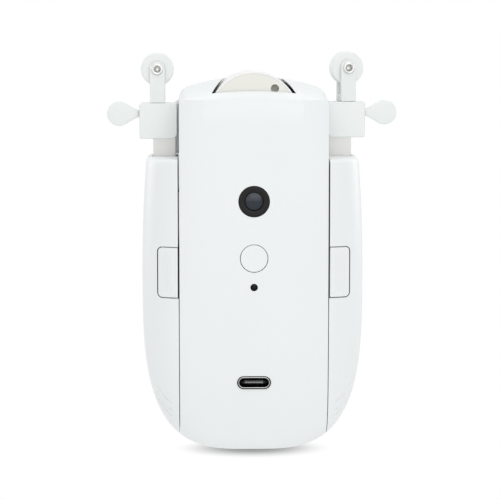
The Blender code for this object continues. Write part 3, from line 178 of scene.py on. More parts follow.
class Graph:
    """The node tree of one material or world."""

    def __init__(self, tree: bpy.types.NodeTree) -> None:
        """Keeps the tree that nodes are added to."""
        self.tree = tree

    def node(
        self,
        kind: str,
        settings: dict[str, object] | None = None,
        values: dict[str | int, object] | None = None,
        output: str | int = 0,
    ) -> Wire:
        """Adds one node.

        Args:
            kind: The node's type.
            settings: Its properties, such as a Math node's operation, which are set first.
            values: Numbers, colours or wires for its input sockets, by name or index.
            output: Which output socket to give back.

        Returns:
            The output socket.
        """
        made = self.tree.nodes.new(kind)
        for name, value in (settings or {}).items():
            setattr(made, name, value)
        for key, value in (values or {}).items():
            self.feed(made.inputs[key], value)
        return Wire(self, made.outputs[output])

    def feed(self, socket: bpy.types.NodeSocket, value: object) -> None:
        """Gives an input socket a wire, a number or a colour.

        Args:
            socket: The input socket.
            value: What it gets.
        """
        if isinstance(value, Wire):
            self.tree.links.new(value.socket, socket)
        else:
            socket.default_value = value

    def place(self) -> Wire:
        """The point on the surface, in the object's own metres."""
        return self.node("ShaderNodeTexCoord", output="Object")

    def noise(self, size: float, detail: float = 3.0, stretch: Triple = (1.0, 1.0, 1.0)) -> Wire:
        """A noise pattern.

        Args:
            size: How large its features are, in metres.
            detail: How many finer layers it has.
            stretch: How much finer it runs along each axis.

        Returns:
            The pattern's value.
        """
        spread = {0: self.place(), 1: stretch}
        where = self.node("ShaderNodeVectorMath", {"operation": "MULTIPLY"}, spread)
        return self.node("ShaderNodeTexNoise", None, {"Vector": where, "Scale": 1 / size, "Detail": detail})

    def rise(self, axis: str, start: float, end: float) -> Wire:
        """A value that runs from 0 to 1 between two places along an axis."""
        along = self.node("ShaderNodeSeparateXYZ", None, {0: self.place()}, output=axis)
        return self.node("ShaderNodeMapRange", None, {"Value": along, "From Min": start, "From Max": end})

    def blend(self, factor: Wire | float, first: object, second: object) -> Wire:
        """A colour mixed from two others, by the share of the second."""
        # The colour sockets of a Mix node come after its number and vector sockets
        values = {0: factor, 6: first, 7: second}
        return self.node("ShaderNodeMix", {"data_type": "RGBA"}, values, output=2)

    def bump(self, height: Wire, depth: float, strength: float) -> Wire:
        """A normal bumped by a pattern, whose full range stands for a depth in metres."""
        values = {"Height": height, "Distance": depth, "Strength": strength}
        return self.node("ShaderNodeBump", None, values, output="Normal")


@dataclass(frozen=True)
class Finish(ABC):
    """One material, made once and shared by the pieces that have it."""

    slot: Slot
    colour: Colour
    roughness: float
    title: str = ""

    made: ClassVar[dict[str, bpy.types.Material]] = {}

    @property
    def name(self) -> str:
        """The material's name."""
        return self.title or self.slot.value

    def shade(self, value: float) -> tuple[float, float, float, float]:
        """The finish's colour times a number, with full alpha."""
        return (*(min(1.0, part * value) for part in self.colour), 1.0)

    def tones(self, pattern: Wire, shades: Flat) -> Wire:
        """The colour, which runs from one shade of it to another along a pattern."""
        return pattern.graph.blend(pattern, self.shade(shades[0]), self.shade(shades[1]))

    def sheen(self, pattern: Wire, spread: float) -> Wire:
        """The roughness, spread about its own value along a pattern."""
        return self.roughness + (pattern - PATTERN_MIDDLE) * spread

    @abstractmethod
    def paint(self, graph: Graph) -> dict[str, object]:
        """What the finish feeds to the main shader.

        Args:
            graph: The material's nodes.

        Returns:
            Values or wires by socket name.
        """

    def material(self) -> bpy.types.Material:
        """The Blender material, made on first use.

        Returns:
            The material.
        """
        if self.name not in self.made:
            material = bpy.data.materials.new(self.name)
            material.use_nodes = True
            graph = Graph(material.node_tree)
            shader = material.node_tree.nodes["Principled BSDF"]
            for socket, value in self.paint(graph).items():
                graph.feed(shader.inputs[socket], value)
            self.made[self.name] = material
        return self.made[self.name]


@dataclass(frozen=True)
class MouldedPlastic(Finish):
    """Injection-moulded plastic: a faint flow mottle in the colour and a fine spark-eroded grain."""

    mottle: float = 0.012
    flow_size: float = 18.0 * MM
    flow_stretch: Triple = (1.0, 1.0, 0.5)
    speck_size: float = 0.9 * MM
    speck_spread: float = 0.06
    grain_size: float = 0.35 * MM
    grain_depth: float = 0.004 * MM
    grain_strength: float = 0.6
    gloss: float = 0.5

    def paint(self, graph: Graph) -> dict[str, object]:
        """Colour, roughness and grain.

        Args:
            graph: The material's nodes.

        Returns:
            Values or wires by socket name.
        """
        flow = graph.noise(self.flow_size, detail=2.0, stretch=self.flow_stretch)
        speck = graph.noise(self.speck_size, detail=2.0)
        grain = graph.noise(self.grain_size)
        return {
            "Base Color": self.tones(flow, (1.0 - self.mottle, 1.0 + self.mottle)),
            "Roughness": self.sheen(speck, self.speck_spread),
            "Specular IOR Level": self.gloss,
            "Normal": graph.bump(grain, self.grain_depth, self.grain_strength),
        }


@dataclass(frozen=True)
class TwoToneMoulding(MouldedPlastic):
    """Moulded plastic with a painted shade below a height: a darker colour where a post leaves its block,
    for the shade that the block casts on it.
    """

    # The painted shade's colour, below the line
    lower_colour: Colour = (0.5, 0.5, 0.5)
    line_z: float = 0.0
    line_soft: float = 0.2 * MM

    def paint(self, graph: Graph) -> dict[str, object]:
        """The upper finish with the painted shade's darker colour mixed in below the line.

        Args:
            graph: The material's nodes.

        Returns:
            Values or wires by socket name.
        """
        paint = super().paint(graph)
        # Painted shade: below the line the colour turns darker
        above = graph.rise("Z", self.line_z - self.line_soft, self.line_z)
        paint["Base Color"] = graph.blend(above, (*self.lower_colour, 1.0), paint["Base Color"])
        return paint


@dataclass(frozen=True)
class SoftTread(Finish):
    """Pale matt rubber with a coarse grain and a little dust in it."""

    dust_size: float = 3.0 * MM
    dust_shades: Flat = (0.95, 1.03)
    dust_spread: float = 0.15
    grain_size: float = 0.25 * MM
    grain_depth: float = 0.02 * MM
    grain_strength: float = 0.7

    def paint(self, graph: Graph) -> dict[str, object]:
        """Colour, roughness and grain.

        Args:
            graph: The material's nodes.

        Returns:
            Values or wires by socket name.
        """
        dust = graph.noise(self.dust_size, detail=4.0)
        grain = graph.noise(self.grain_size)
        return {
            "Base Color": self.tones(dust, self.dust_shades),
            "Roughness": self.sheen(dust, self.dust_spread),
            "Normal": graph.bump(grain, self.grain_depth, self.grain_strength),
        }


@dataclass(frozen=True)
class SmokedPlastic(Finish):
    """Dark clear plastic: a polished face with a slight haze below it."""

    haze_size: float = 1.6 * MM
    haze_shades: Flat = (0.85, 1.2)
    haze_spread: float = 0.05
    gloss: float = 0.5

    def paint(self, graph: Graph) -> dict[str, object]:
        """Colour, roughness and gloss.

        Args:
            graph: The material's nodes.

        Returns:
            Values or wires by socket name.
        """
        haze = graph.noise(self.haze_size, detail=2.0)
        return {
            "Base Color": self.tones(haze, self.haze_shades),
            "Roughness": self.sheen(haze, self.haze_spread),
            "Specular IOR Level": self.gloss,
        }


@dataclass(frozen=True)
class PlatedSteel(Finish):
    """Bright plated steel with fine drawing lines along one axis and a few dull patches."""

    line_size: float = 0.12 * MM
    line_stretch: Triple = (1.0, 0.06, 1.0)
    line_spread: float = 0.12
    line_depth: float = 0.004 * MM
    line_strength: float = 0.5
    dull_size: float = 2.5 * MM
    dull_shades: Flat = (0.92, 1.06)
    dull_spread: float = 0.1

    def paint(self, graph: Graph) -> dict[str, object]:
        """Colour, metal, roughness and lines.

        Args:
            graph: The material's nodes.

        Returns:
            Values or wires by socket name.
        """
        drawn = graph.noise(self.line_size, detail=2.0, stretch=self.line_stretch)
        dull = graph.noise(self.dull_size)
        return {
            "Base Color": self.tones(dull, self.dull_shades),
            "Metallic": 1.0,
            "Roughness": self.sheen(drawn, self.line_spread) + (dull - PATTERN_MIDDLE) * self.dull_spread,
            "Normal": graph.bump(drawn, self.line_depth, self.line_strength),
        }


@dataclass(frozen=True)
class MouthSteel(PlatedSteel):
    """Plated steel that keeps its colour on a lip at the front and has a painted shade behind it, for the
    shade inside the inlet.
    """

    lip_y: float = 0.0
    lip_deep: float = 0.04 * MM
    # How dark the painted shade behind the lip is, as a share of the steel's colour
    darkness: float = 0.05

    def paint(self, graph: Graph) -> dict[str, object]:
        """The steel with a painted shade, a nearly black colour, mixed in behind the lip.

        Args:
            graph: The material's nodes.

        Returns:
            Values or wires by socket name.
        """
        paint = super().paint(graph)
        # Painted shade: behind the lip the steel turns nearly black
        behind = graph.rise("Y", self.lip_y + self.lip_deep / 2, self.lip_y + self.lip_deep)
        paint["Base Color"] = graph.blend(behind, paint["Base Color"], self.shade(self.darkness))
        return paint


@dataclass(frozen=True)
class SolderMask(Finish):
    """Green lacquer over copper: a grid of tracks shows as lighter lines that stand a little proud."""

    track_pitch: float = 10.16 * MM
    track_width: float = 0.01
    track_offset: float = 0.35
    track_share: float = 0.3
    track_shades: Flat = (1.0, 2.2)
    track_gloss: float = 0.1
    track_depth: float = 0.04 * MM
    track_strength: float = 0.8
    cloud_size: float = 6.0 * MM
    cloud_share: float = 0.2

    def paint(self, graph: Graph) -> dict[str, object]:
        """Colour, roughness and track height.

        Args:
            graph: The material's nodes.

        Returns:
            Values or wires by socket name.
        """
        upright = {"Vector": graph.place(), "Rotation": (QUARTER, 0.0, 0.0)}
        brick = {"Color1": BLACK, "Color2": BLACK, "Mortar": WHITE, "Mortar Size": self.track_width}
        brick["Vector"] = graph.node("ShaderNodeMapping", None, upright)
        brick["Scale"] = 1 / self.track_pitch
        tracks = graph.node("ShaderNodeTexBrick", {"offset": self.track_offset}, brick, output="Fac")
        cloud = graph.noise(self.cloud_size, detail=2.0)
        lightness = tracks * self.track_share + cloud * self.cloud_share
        return {
            "Base Color": self.tones(lightness, self.track_shades),
            "Roughness": self.roughness - tracks * self.track_gloss,
            "Normal": graph.bump(tracks, self.track_depth, self.track_strength),
        }


@dataclass(frozen=True)
class ShrinkWrap(Finish):
    """Thin coloured film over a cell: glossy, with faint shrink wrinkles across it."""

    wrinkle_size: float = 5.0 * MM
    wrinkle_stretch: Triple = (0.35, 1.0, 2.0)
    wrinkle_shades: Flat = (0.85, 1.15)
    wrinkle_spread: float = 0.15
    wrinkle_depth: float = 0.15 * MM
    wrinkle_strength: float = 0.4

    def paint(self, graph: Graph) -> dict[str, object]:
        """Colour, roughness and wrinkles.

        Args:
            graph: The material's nodes.

        Returns:
            Values or wires by socket name.
        """
        wrinkle = graph.noise(self.wrinkle_size, stretch=self.wrinkle_stretch)
        return {
            "Base Color": self.tones(wrinkle, self.wrinkle_shades),
            "Roughness": self.sheen(wrinkle, self.wrinkle_spread),
            "Normal": graph.bump(wrinkle, self.wrinkle_depth, self.wrinkle_strength),
        }


FINISHES: dict[Slot, Finish] = {
    finish.slot: finish
    for finish in (
        MouldedPlastic(Slot.WHITE_SHELL, (0.84, 0.87, 0.87), 0.36),
        MouldedPlastic(Slot.WHITE_ARM, (0.82, 0.85, 0.84), 0.46, grain_depth=0.006 * MM),
        MouldedPlastic(Slot.CREAM_WHEEL, (0.81, 0.81, 0.755), 0.5, mottle=0.02),
        SoftTread(Slot.WHEEL_RUBBER, (0.92, 0.92, 0.91), 0.8),
        MouldedPlastic(Slot.BLACK_TRIM, (0.012, 0.012, 0.012), 0.42, mottle=0.1, gloss=0.16),
        SmokedPlastic(Slot.SMOKED_LENS, (0.024, 0.03, 0.042), 0.12, gloss=0.3),
        PlatedSteel(Slot.STEEL, (0.62, 0.62, 0.62), 0.3),
        MouldedPlastic(Slot.GEAR_PLASTIC, (0.75, 0.73, 0.66), 0.5, mottle=0.03),
        MouldedPlastic(Slot.FRAME_PLASTIC, (0.20, 0.21, 0.22), 0.6, mottle=0.05, grain_depth=0.01 * MM),
        SolderMask(Slot.BOARD_GREEN, (0.02, 0.16, 0.07), 0.45),
        ShrinkWrap(Slot.BATTERY_WRAP, (0.05, 0.12, 0.35), 0.4),
        MouldedPlastic(Slot.LEAD_SLEEVE, (0.45, 0.03, 0.02), 0.5, mottle=0.06),
    )
}


def even(start: float, end: float, steps: int) -> list[float]:
    """Evenly spaced values from one number to another, both ends included."""
    return [start + (end - start) * i / steps for i in range(steps + 1)]


def arc(centre: Flat, radius: float, start: float, end: float, steps: int) -> list[Flat]:
    """Points of an arc from one angle to another, both ends included."""
    angles = even(start, end, steps)
    return [(centre[0] + radius * math.cos(a), centre[1] + radius * math.sin(a)) for a in angles]


def circle(radius: float, steps: int) -> list[Flat]:
    """Points round a circle about the origin."""
    return arc((0.0, 0.0), radius, 0.0, 2 * math.pi, steps)[:-1]


def dished(radius: float, middle: float, rim: float, steps: int) -> list[Flat]:
    """A shallow dome or dish as points of (radius, y), from the depth of its middle to that of its rim."""
    return [(radius * share, middle + (rim - middle) * share**2) for share in even(0.0, 1.0, steps)]


def at(x: float, z: float) -> Matrix:
    """The move from the origin to a place in the front view."""
    return Matrix.Translation((x, 0.0, z))


def linked(name: str, data: bpy.types.ID) -> bpy.types.Object:
    """Puts a new object into the scene.

    Args:
        name: The object's name.
        data: Its mesh, lamp or camera.

    Returns:
        The object.
    """
    obj = bpy.data.objects.new(name, data)
    bpy.context.scene.collection.objects.link(obj)
    return obj


class Line:
    """A line through points, measured along its length."""

    def __init__(self, points: Sequence[Flat]) -> None:
        """Measures the line.

        Args:
            points: The points that it runs through.
        """
        self.points = list(points)
        self.lengths = [0.0]
        for (x0, y0), (x1, y1) in zip(self.points, self.points[1:]):
            self.lengths.append(self.lengths[-1] + math.hypot(x1 - x0, y1 - y0))

    @property
    def length(self) -> float:
        """The line's whole length."""
        return self.lengths[-1]

    def at(self, distance: float) -> Flat:
        """The point at a distance along the line.

        Args:
            distance: How far along it.

        Returns:
            The point.
        """
        k = 0
        while k < len(self.points) - 2 and self.lengths[k + 1] < distance:
            k += 1
        share = (distance - self.lengths[k]) / max(self.lengths[k + 1] - self.lengths[k], TINY)
        (x0, y0), (x1, y1) = self.points[k], self.points[k + 1]
        return x0 + (x1 - x0) * share, y0 + (y1 - y0) * share

    def run(self, start: float, end: float, steps: int) -> list[Flat]:
        """Even points along a stretch of the line, both ends included."""
        return [self.at(distance) for distance in even(start, end, steps)]


def eased(before: Line, after: Line, radius: float, steps: int = 4) -> list[Flat]:
    """The points inside a rounded corner where one line ends and the next starts.

    Args:
        before: The line that ends at the corner.
        after: The line that starts there.
        radius: How far along each line the rounding reaches.
        steps: How many lengths it has.

    Returns:
        The points between the two ends of the rounding.
    """
    start = Vector(before.at(before.length - radius))
    corner = Vector(after.points[0])
    end = Vector(after.at(radius))
    points = []
    for t in even(0.0, 1.0, steps)[1:-1]:
        points.append(tuple(start * (1 - t) ** 2 + corner * (2 * t * (1 - t)) + end * t**2))
    return points


def rounded(corners: Sequence[Triple], steps: int = 6) -> list[Flat]:
    """Rounds a polygon's corners.

    Args:
        corners: Each corner's place and radius, in order round the outline.
        steps: How many lengths each round corner has.

    Returns:
        The rounded outline.
    """
    outline = []
    for i, (x, z, radius) in enumerate(corners):
        here = Vector((x, z))
        before = (Vector(corners[i - 1][:2]) - here).normalized()
        after = (Vector(corners[(i + 1) % len(corners)][:2]) - here).normalized()
        half = before.angle(after) / 2
        centre = here + (before + after).normalized() * (radius / math.sin(half))
        start = here + before * (radius / math.tan(half)) - centre
        turn = math.pi - 2 * half
        way = math.copysign(1.0, before.x * after.y - before.y * after.x)
        for angle in even(0.0, -way * turn, steps):
            spun = Matrix.Rotation(angle, 2) @ start
            outline.append((centre.x + spun.x, centre.y + spun.y))
    return outline


def soft_oblong(across: Flat, up: Flat, near_corner: float, far_corner: float) -> list[Flat]:
    """An upright oblong with one radius at its near corners and another at its far ones.

    Args:
        across: Where its near and its far side lie.
        up: The heights of its lower and its upper side.
        near_corner: The radius at the near side.
        far_corner: The radius at the far side.

    Returns:
        The outline.
    """
    (near, far), (low, high) = across, up
    corners = [(near, low, near_corner), (far, low, far_corner)]
    return rounded([*corners, (far, high, far_corner), (near, high, near_corner)])


def stadium(width: float, height: float, z: float, steps: int = 14) -> list[Flat]:
    """An outline with two straight sides and round ends.

    Args:
        width: Its whole width.
        height: Its height.
        z: The height of its middle.
        steps: How many lengths each end has.

    Returns:
        The outline.
    """
    x = (width - height) / 2
    points = arc((x, z), height / 2, QUARTER, -QUARTER, steps)
    return points + arc((-x, z), height / 2, -QUARTER, -3 * QUARTER, steps)


def inset(outline: Sequence[Flat], distance: float, least: float = 0.3) -> list[Flat]:
    """Draws a closed outline in.

    Args:
        outline: Its points, in either direction.
        distance: How far each side moves in.
        least: The cosine that stands for any sharper corner's, so that its point doesn't shoot off.

    Returns:
        As many points as before.
    """
    count = len(outline)
    area = sum(
        outline[i - 1][0] * outline[i][1] - outline[i][0] * outline[i - 1][1] for i in range(count)
    )
    way = math.copysign(1.0, area)
    moved = []
    for i, (x, z) in enumerate(outline):
        before = (Vector((x, z)) - Vector(outline[i - 1])).normalized()
        after = (Vector(outline[(i + 1) % count]) - Vector((x, z))).normalized()
        along = (before + after).normalized()
        reach = distance / max(least, along.dot(before))
        moved.append((x - way * along.y * reach, z + way * along.x * reach))
    return moved


class Shape:
    """A closed mesh on its way to becoming a piece."""

    def __init__(self, mesh: bpy.types.Mesh) -> None:
        """Keeps the mesh."""
        self.mesh = mesh

    @classmethod
    def of(cls, bm: bmesh.types.BMesh) -> Shape:
        """A shape from a bmesh with its faces turned out. The bmesh is freed.

        Args:
            bm: The bmesh.

        Returns:
            The shape.
        """
        bmesh.ops.recalc_face_normals(bm, faces=bm.faces)
        if bm.calc_volume(signed=True) < 0:
            bmesh.ops.reverse_faces(bm, faces=bm.faces)
        mesh = bpy.data.meshes.new("shape")
        bm.to_mesh(mesh)
        bm.free()
        return cls(mesh)

    @classmethod
    def loft(cls, rings: Sequence[Sequence[Sequence[float]]], cyclic: bool = False) -> Shape:
        """Joins closed rings of points, and closes the two ends.

        Args:
            rings: The rings in order. A ring of one point is a tip.
            cyclic: Whether the last ring joins the first, as round a sleeve.

        Returns:
            The shape.
        """
        bm = bmesh.new()
        made = [[bm.verts.new(point) for point in ring] for ring in rings]
        for lower, upper in zip(made, made[1:] + made[:1] if cyclic else made[1:]):
            count = max(len(lower), len(upper))
            for i in range(count):
                j = (i + 1) % count
                if len(lower) == 1:
                    bm.faces.new((lower[0], upper[j], upper[i]))
                elif len(upper) == 1:
                    bm.faces.new((lower[i], lower[j], upper[0]))
                else:
                    bm.faces.new((lower[i], lower[j], upper[j], upper[i]))
        for end in () if cyclic else (made[0], made[-1]):
            if len(end) > 2:
                bm.faces.new(end)
        return cls.of(bm)

    @classmethod
    def turned(cls, profile: Sequence[Flat], steps: int = 72, closed: bool = False) -> Shape:
        """Turns a profile about the Y axis.

        Args:
            profile: Points of (radius, y). An open profile starts and ends on the axis.
            steps: How many sides the turned shape has.
            closed: Whether the profile is a closed ring that stays off the axis.

        Returns:
            The shape.
        """
        rings = []
        for radius, y in profile:
            places = circle(radius, steps) if radius else [(0.0, 0.0)]
            rings.append([(x, y, z) for x, z in places])
        return cls.loft(rings, cyclic=closed)

    @classmethod
    def rod(cls, start: float, end: float, radius: float, steps: int = 32) -> Shape:
        """A round bar along the Y axis, for cutting and joining with."""
        return cls.turned([(0.0, start), (radius, start), (radius, end), (0.0, end)], steps)

    @classmethod
    def slab(
        cls, outline: Sequence[Flat], front: float, back: float, soft: float = 0.0, steps: int = 4
    ) -> Shape:
        """A flat piece with soft edges.

        Args:
            outline: Its front view, points of (x, z).
            front: The depth of its front face.
            back: The depth of its back face.
            soft: The radius of its edges.
            steps: How many lengths a rounded edge has.

        Returns:
            The shape.
        """
        angles = even(0.0, QUARTER, steps)
        rings = []
        for angle in angles if soft else [QUARTER]:
            drawn = inset(outline, soft * (1 - math.sin(angle)))
            rings.append([(x, front + soft * (1 - math.cos(angle)), z) for x, z in drawn])
        for angle in angles if soft else [0.0]:
            drawn = inset(outline, soft * (1 - math.cos(angle)))
            rings.append([(x, back - soft * (1 - math.sin(angle)), z) for x, z in drawn])
        return cls.loft(rings)

    @classmethod
    def block(cls, low: Sequence[float], high: Sequence[float]) -> Shape:
        """A plain block between two opposite corners."""
        outline = [(low[0], low[2]), (high[0], low[2]), (high[0], high[2]), (low[0], high[2])]
        return cls.slab(outline, min(low[1], high[1]), max(low[1], high[1]))

    @classmethod
    def tube(cls, path: Sequence[Vector], radius: float, sides: int = 10) -> Shape:
        """A round bar along a path in the front view, with pointed ends.

        Args:
            path: The points along its middle, which never runs straight back.
            radius: Its radius.
            sides: How many sides it has.

        Returns:
            The shape.
        """
        rings: list[list[Vector]] = [[path[0]]]
        for i in range(1, len(path) - 1):
            along = path[i + 1] - path[i - 1]
            across = along.cross(Vector((0.0, 1.0, 0.0))).normalized()
            rise = across.cross(along).normalized()
            rings.append([path[i] + across * u + rise * v for u, v in circle(radius, sides)])
        rings.append([path[-1]])
        return cls.loft(rings)

    @classmethod
    def gathered(cls, shapes: Iterable[Shape]) -> Shape:
        """Several separate shapes as one.

        Args:
            shapes: The shapes, which are used up.

        Returns:
            The shape.
        """
        bm = bmesh.new()
        for shape in shapes:
            bm.from_mesh(shape.mesh)
            bpy.data.meshes.remove(shape.mesh)
        return cls.of(bm)

    def moved(self, matrix: Matrix) -> Shape:
        """The same shape after a transform."""
        self.mesh.transform(matrix)
        return self

    def _boolean(self, operation: Boolean, others: Iterable[Shape]) -> Shape:
        """Cuts or joins, one shape at a time.

        Args:
            operation: What the others do to this shape.
            others: The shapes to do it with, which are used up.

        Returns:
            This shape, changed.
        """
        target = linked("shape", self.mesh)
        helpers = [linked("shape", other.mesh) for other in others]
        for helper in helpers:
            modifier = target.modifiers.new("boolean", "BOOLEAN")
            modifier.operation = operation.value
            modifier.solver = "EXACT"
            modifier.object = helper
        graph = bpy.context.evaluated_depsgraph_get()
        self.mesh = bpy.data.meshes.new_from_object(target.evaluated_get(graph))
        for obj in (target, *helpers):
            old = obj.data
            bpy.data.objects.remove(obj, do_unlink=True)
            bpy.data.meshes.remove(old)
        return self._welded()

    def _welded(self, reach: float = 0.002 * MM, largest_hole: int = 8) -> Shape:
        """Joins corners that lie on top of each other and closes pinholes, as a Boolean leaves them.

        Args:
            reach: How far apart such corners may lie.
            largest_hole: How many sides a pinhole may have.

        Returns:
            This shape, changed.
        """
        bm = bmesh.new()
        bm.from_mesh(self.mesh)
        bmesh.ops.remove_doubles(bm, verts=bm.verts, dist=reach)
        bmesh.ops.dissolve_degenerate(bm, edges=bm.edges, dist=reach / 4)
        hanging = [vert for vert in bm.verts if vert.is_boundary and len(vert.link_edges) == 2]
        bmesh.ops.dissolve_verts(bm, verts=hanging)
        rims = [edge for edge in bm.edges if edge.is_boundary]
        bmesh.ops.holes_fill(bm, edges=rims, sides=largest_hole)
        bm.to_mesh(self.mesh)
        bm.free()
        return self

    def cut(self, *others: Shape) -> Shape:
        """Takes other shapes away."""
        return self._boolean(Boolean.CUT, others)

    def join(self, *others: Shape) -> Shape:
        """Adds other shapes to it."""
        return self._boolean(Boolean.JOIN, others)

    def piece(
        self, name: str, slot: Slot, body: str, finish: Finish | None = None, added: bool = False
    ) -> bpy.types.Object:
        """Turns the shape into a finished piece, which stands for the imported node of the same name.

        Args:
            name: The node's name.
            slot: Its material slot.
            body: The body that it moves with.
            finish: Its finish, where the slot's own isn't it.
            added: Whether it is a detail of its own that stands for no node.

        Returns:
            The object.
        """
        mesh = self.mesh
        mesh.name = f"{name}_form"
        mesh.materials.clear()
        mesh.materials.append((finish or FINISHES[slot]).material())
        for polygon in mesh.polygons:
            polygon.material_index = 0
        mesh.shade_smooth()
        mesh.set_sharp_from_angle(angle=SHARP)
        obj = linked(f"{name}_piece", mesh)
        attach(obj, body)
        if not added:
            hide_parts(name)
        LOG.info("%s: %d faces on %s", obj.name, len(mesh.polygons), body)
        return obj


@dataclass(frozen=True)
class BodyForm:
    """The body's rounded block and the column's domed top, drawn in by a wall where that is wanted."""

    half_wide: float = 31.5 * MM
    half_deep: float = 21.75 * MM
    widest_z: float = 50.9 * MM
    foot_cut: float = 0.4 * MM
    top_taper: float = 1.3 * MM
    side_curve: float = 3.3
    depth_curve: float = 4.5
    plan_curve: float = 4.0
    shell_top: float = 82.9 * MM
    column_half: float = 20.8 * MM
    column_top: float = 106.3 * MM
    column_crown: float = 3.8 * MM
    column_corner: float = 2.3 * MM
    dome_height: float = 8.4 * MM
    dome_curve: float = 2.4
    dome_overrun: float = 0.3 * MM
    drawn_in: float = 0.0

    def _drop(self, z: float) -> float:
        """How far a height lies below the widest one, as a share of the rounded bottom."""
        return max(0.0, self.widest_z - z) / (self.widest_z + self.foot_cut - self.drawn_in)

    def wide(self, z: float) -> float:
        """Half the body's width at a height.

        Args:
            z: The height.

        Returns:
            The half width.
        """
        rise = max(0.0, z - self.widest_z) / (self.shell_top - self.widest_z)
        widest = self.half_wide - self.drawn_in - self.top_taper * rise**2
        return widest * (1 - self._drop(z) ** self.side_curve) ** (1 / self.side_curve)

    def deep(self, z: float) -> float:
        """Half the body's depth at a height."""
        full = self.half_deep - self.drawn_in
        return full * (1 - self._drop(z) ** self.depth_curve) ** (1 / self.depth_curve)

    def front(self, x: float, z: float) -> float:
        """The depth of the front surface at a place in the front view."""
        share = min(1.0, abs(x) / self.wide(z))
        return -self.deep(z) * (1 - share**self.plan_curve) ** (1 / self.plan_curve)

    def side(self, y: float, z: float) -> float:
        """How far out the side surface lies at a depth and a height."""
        share = min(1.0, abs(y) / self.deep(z))
        return self.wide(z) * (1 - share**self.plan_curve) ** (1 / self.plan_curve)

    def top(self, x: float, y: float) -> float:
        """The height of the column's domed top.

        Args:
            x: How far across.
            y: How far back.

        Returns:
            The height.
        """
        corner = max(self.column_corner - self.drawn_in, self.drawn_in / 4)
        past = min(max(0.0, abs(x) - self.column_half + self.drawn_in + corner), corner)
        side_drop = corner - math.sqrt(corner**2 - past**2)
        reach = min(1.0, abs(y) / (self.half_deep - self.drawn_in + self.dome_overrun))
        rise = self.dome_height - self.column_crown * (x / self.column_half) ** 2
        dome = rise * (1 - reach**self.dome_curve) ** (1 / self.dome_curve)
        return self.column_top - self.dome_height - self.drawn_in + dome - side_drop

    def low_heights(self, steps: int) -> list[float]:
        """Heights from the foot to the widest place, close together near the foot.

        Args:
            steps: How many lengths there are.

        Returns:
            The heights.
        """
        full = self.widest_z + self.foot_cut - self.drawn_in
        last = math.asin(self._drop(self.drawn_in) ** (self.side_curve / 2))
        angles = [last * (1 - i / steps) for i in range(steps + 1)]
        return [self.widest_z - full * math.sin(angle) ** (2 / self.side_curve) for angle in angles]


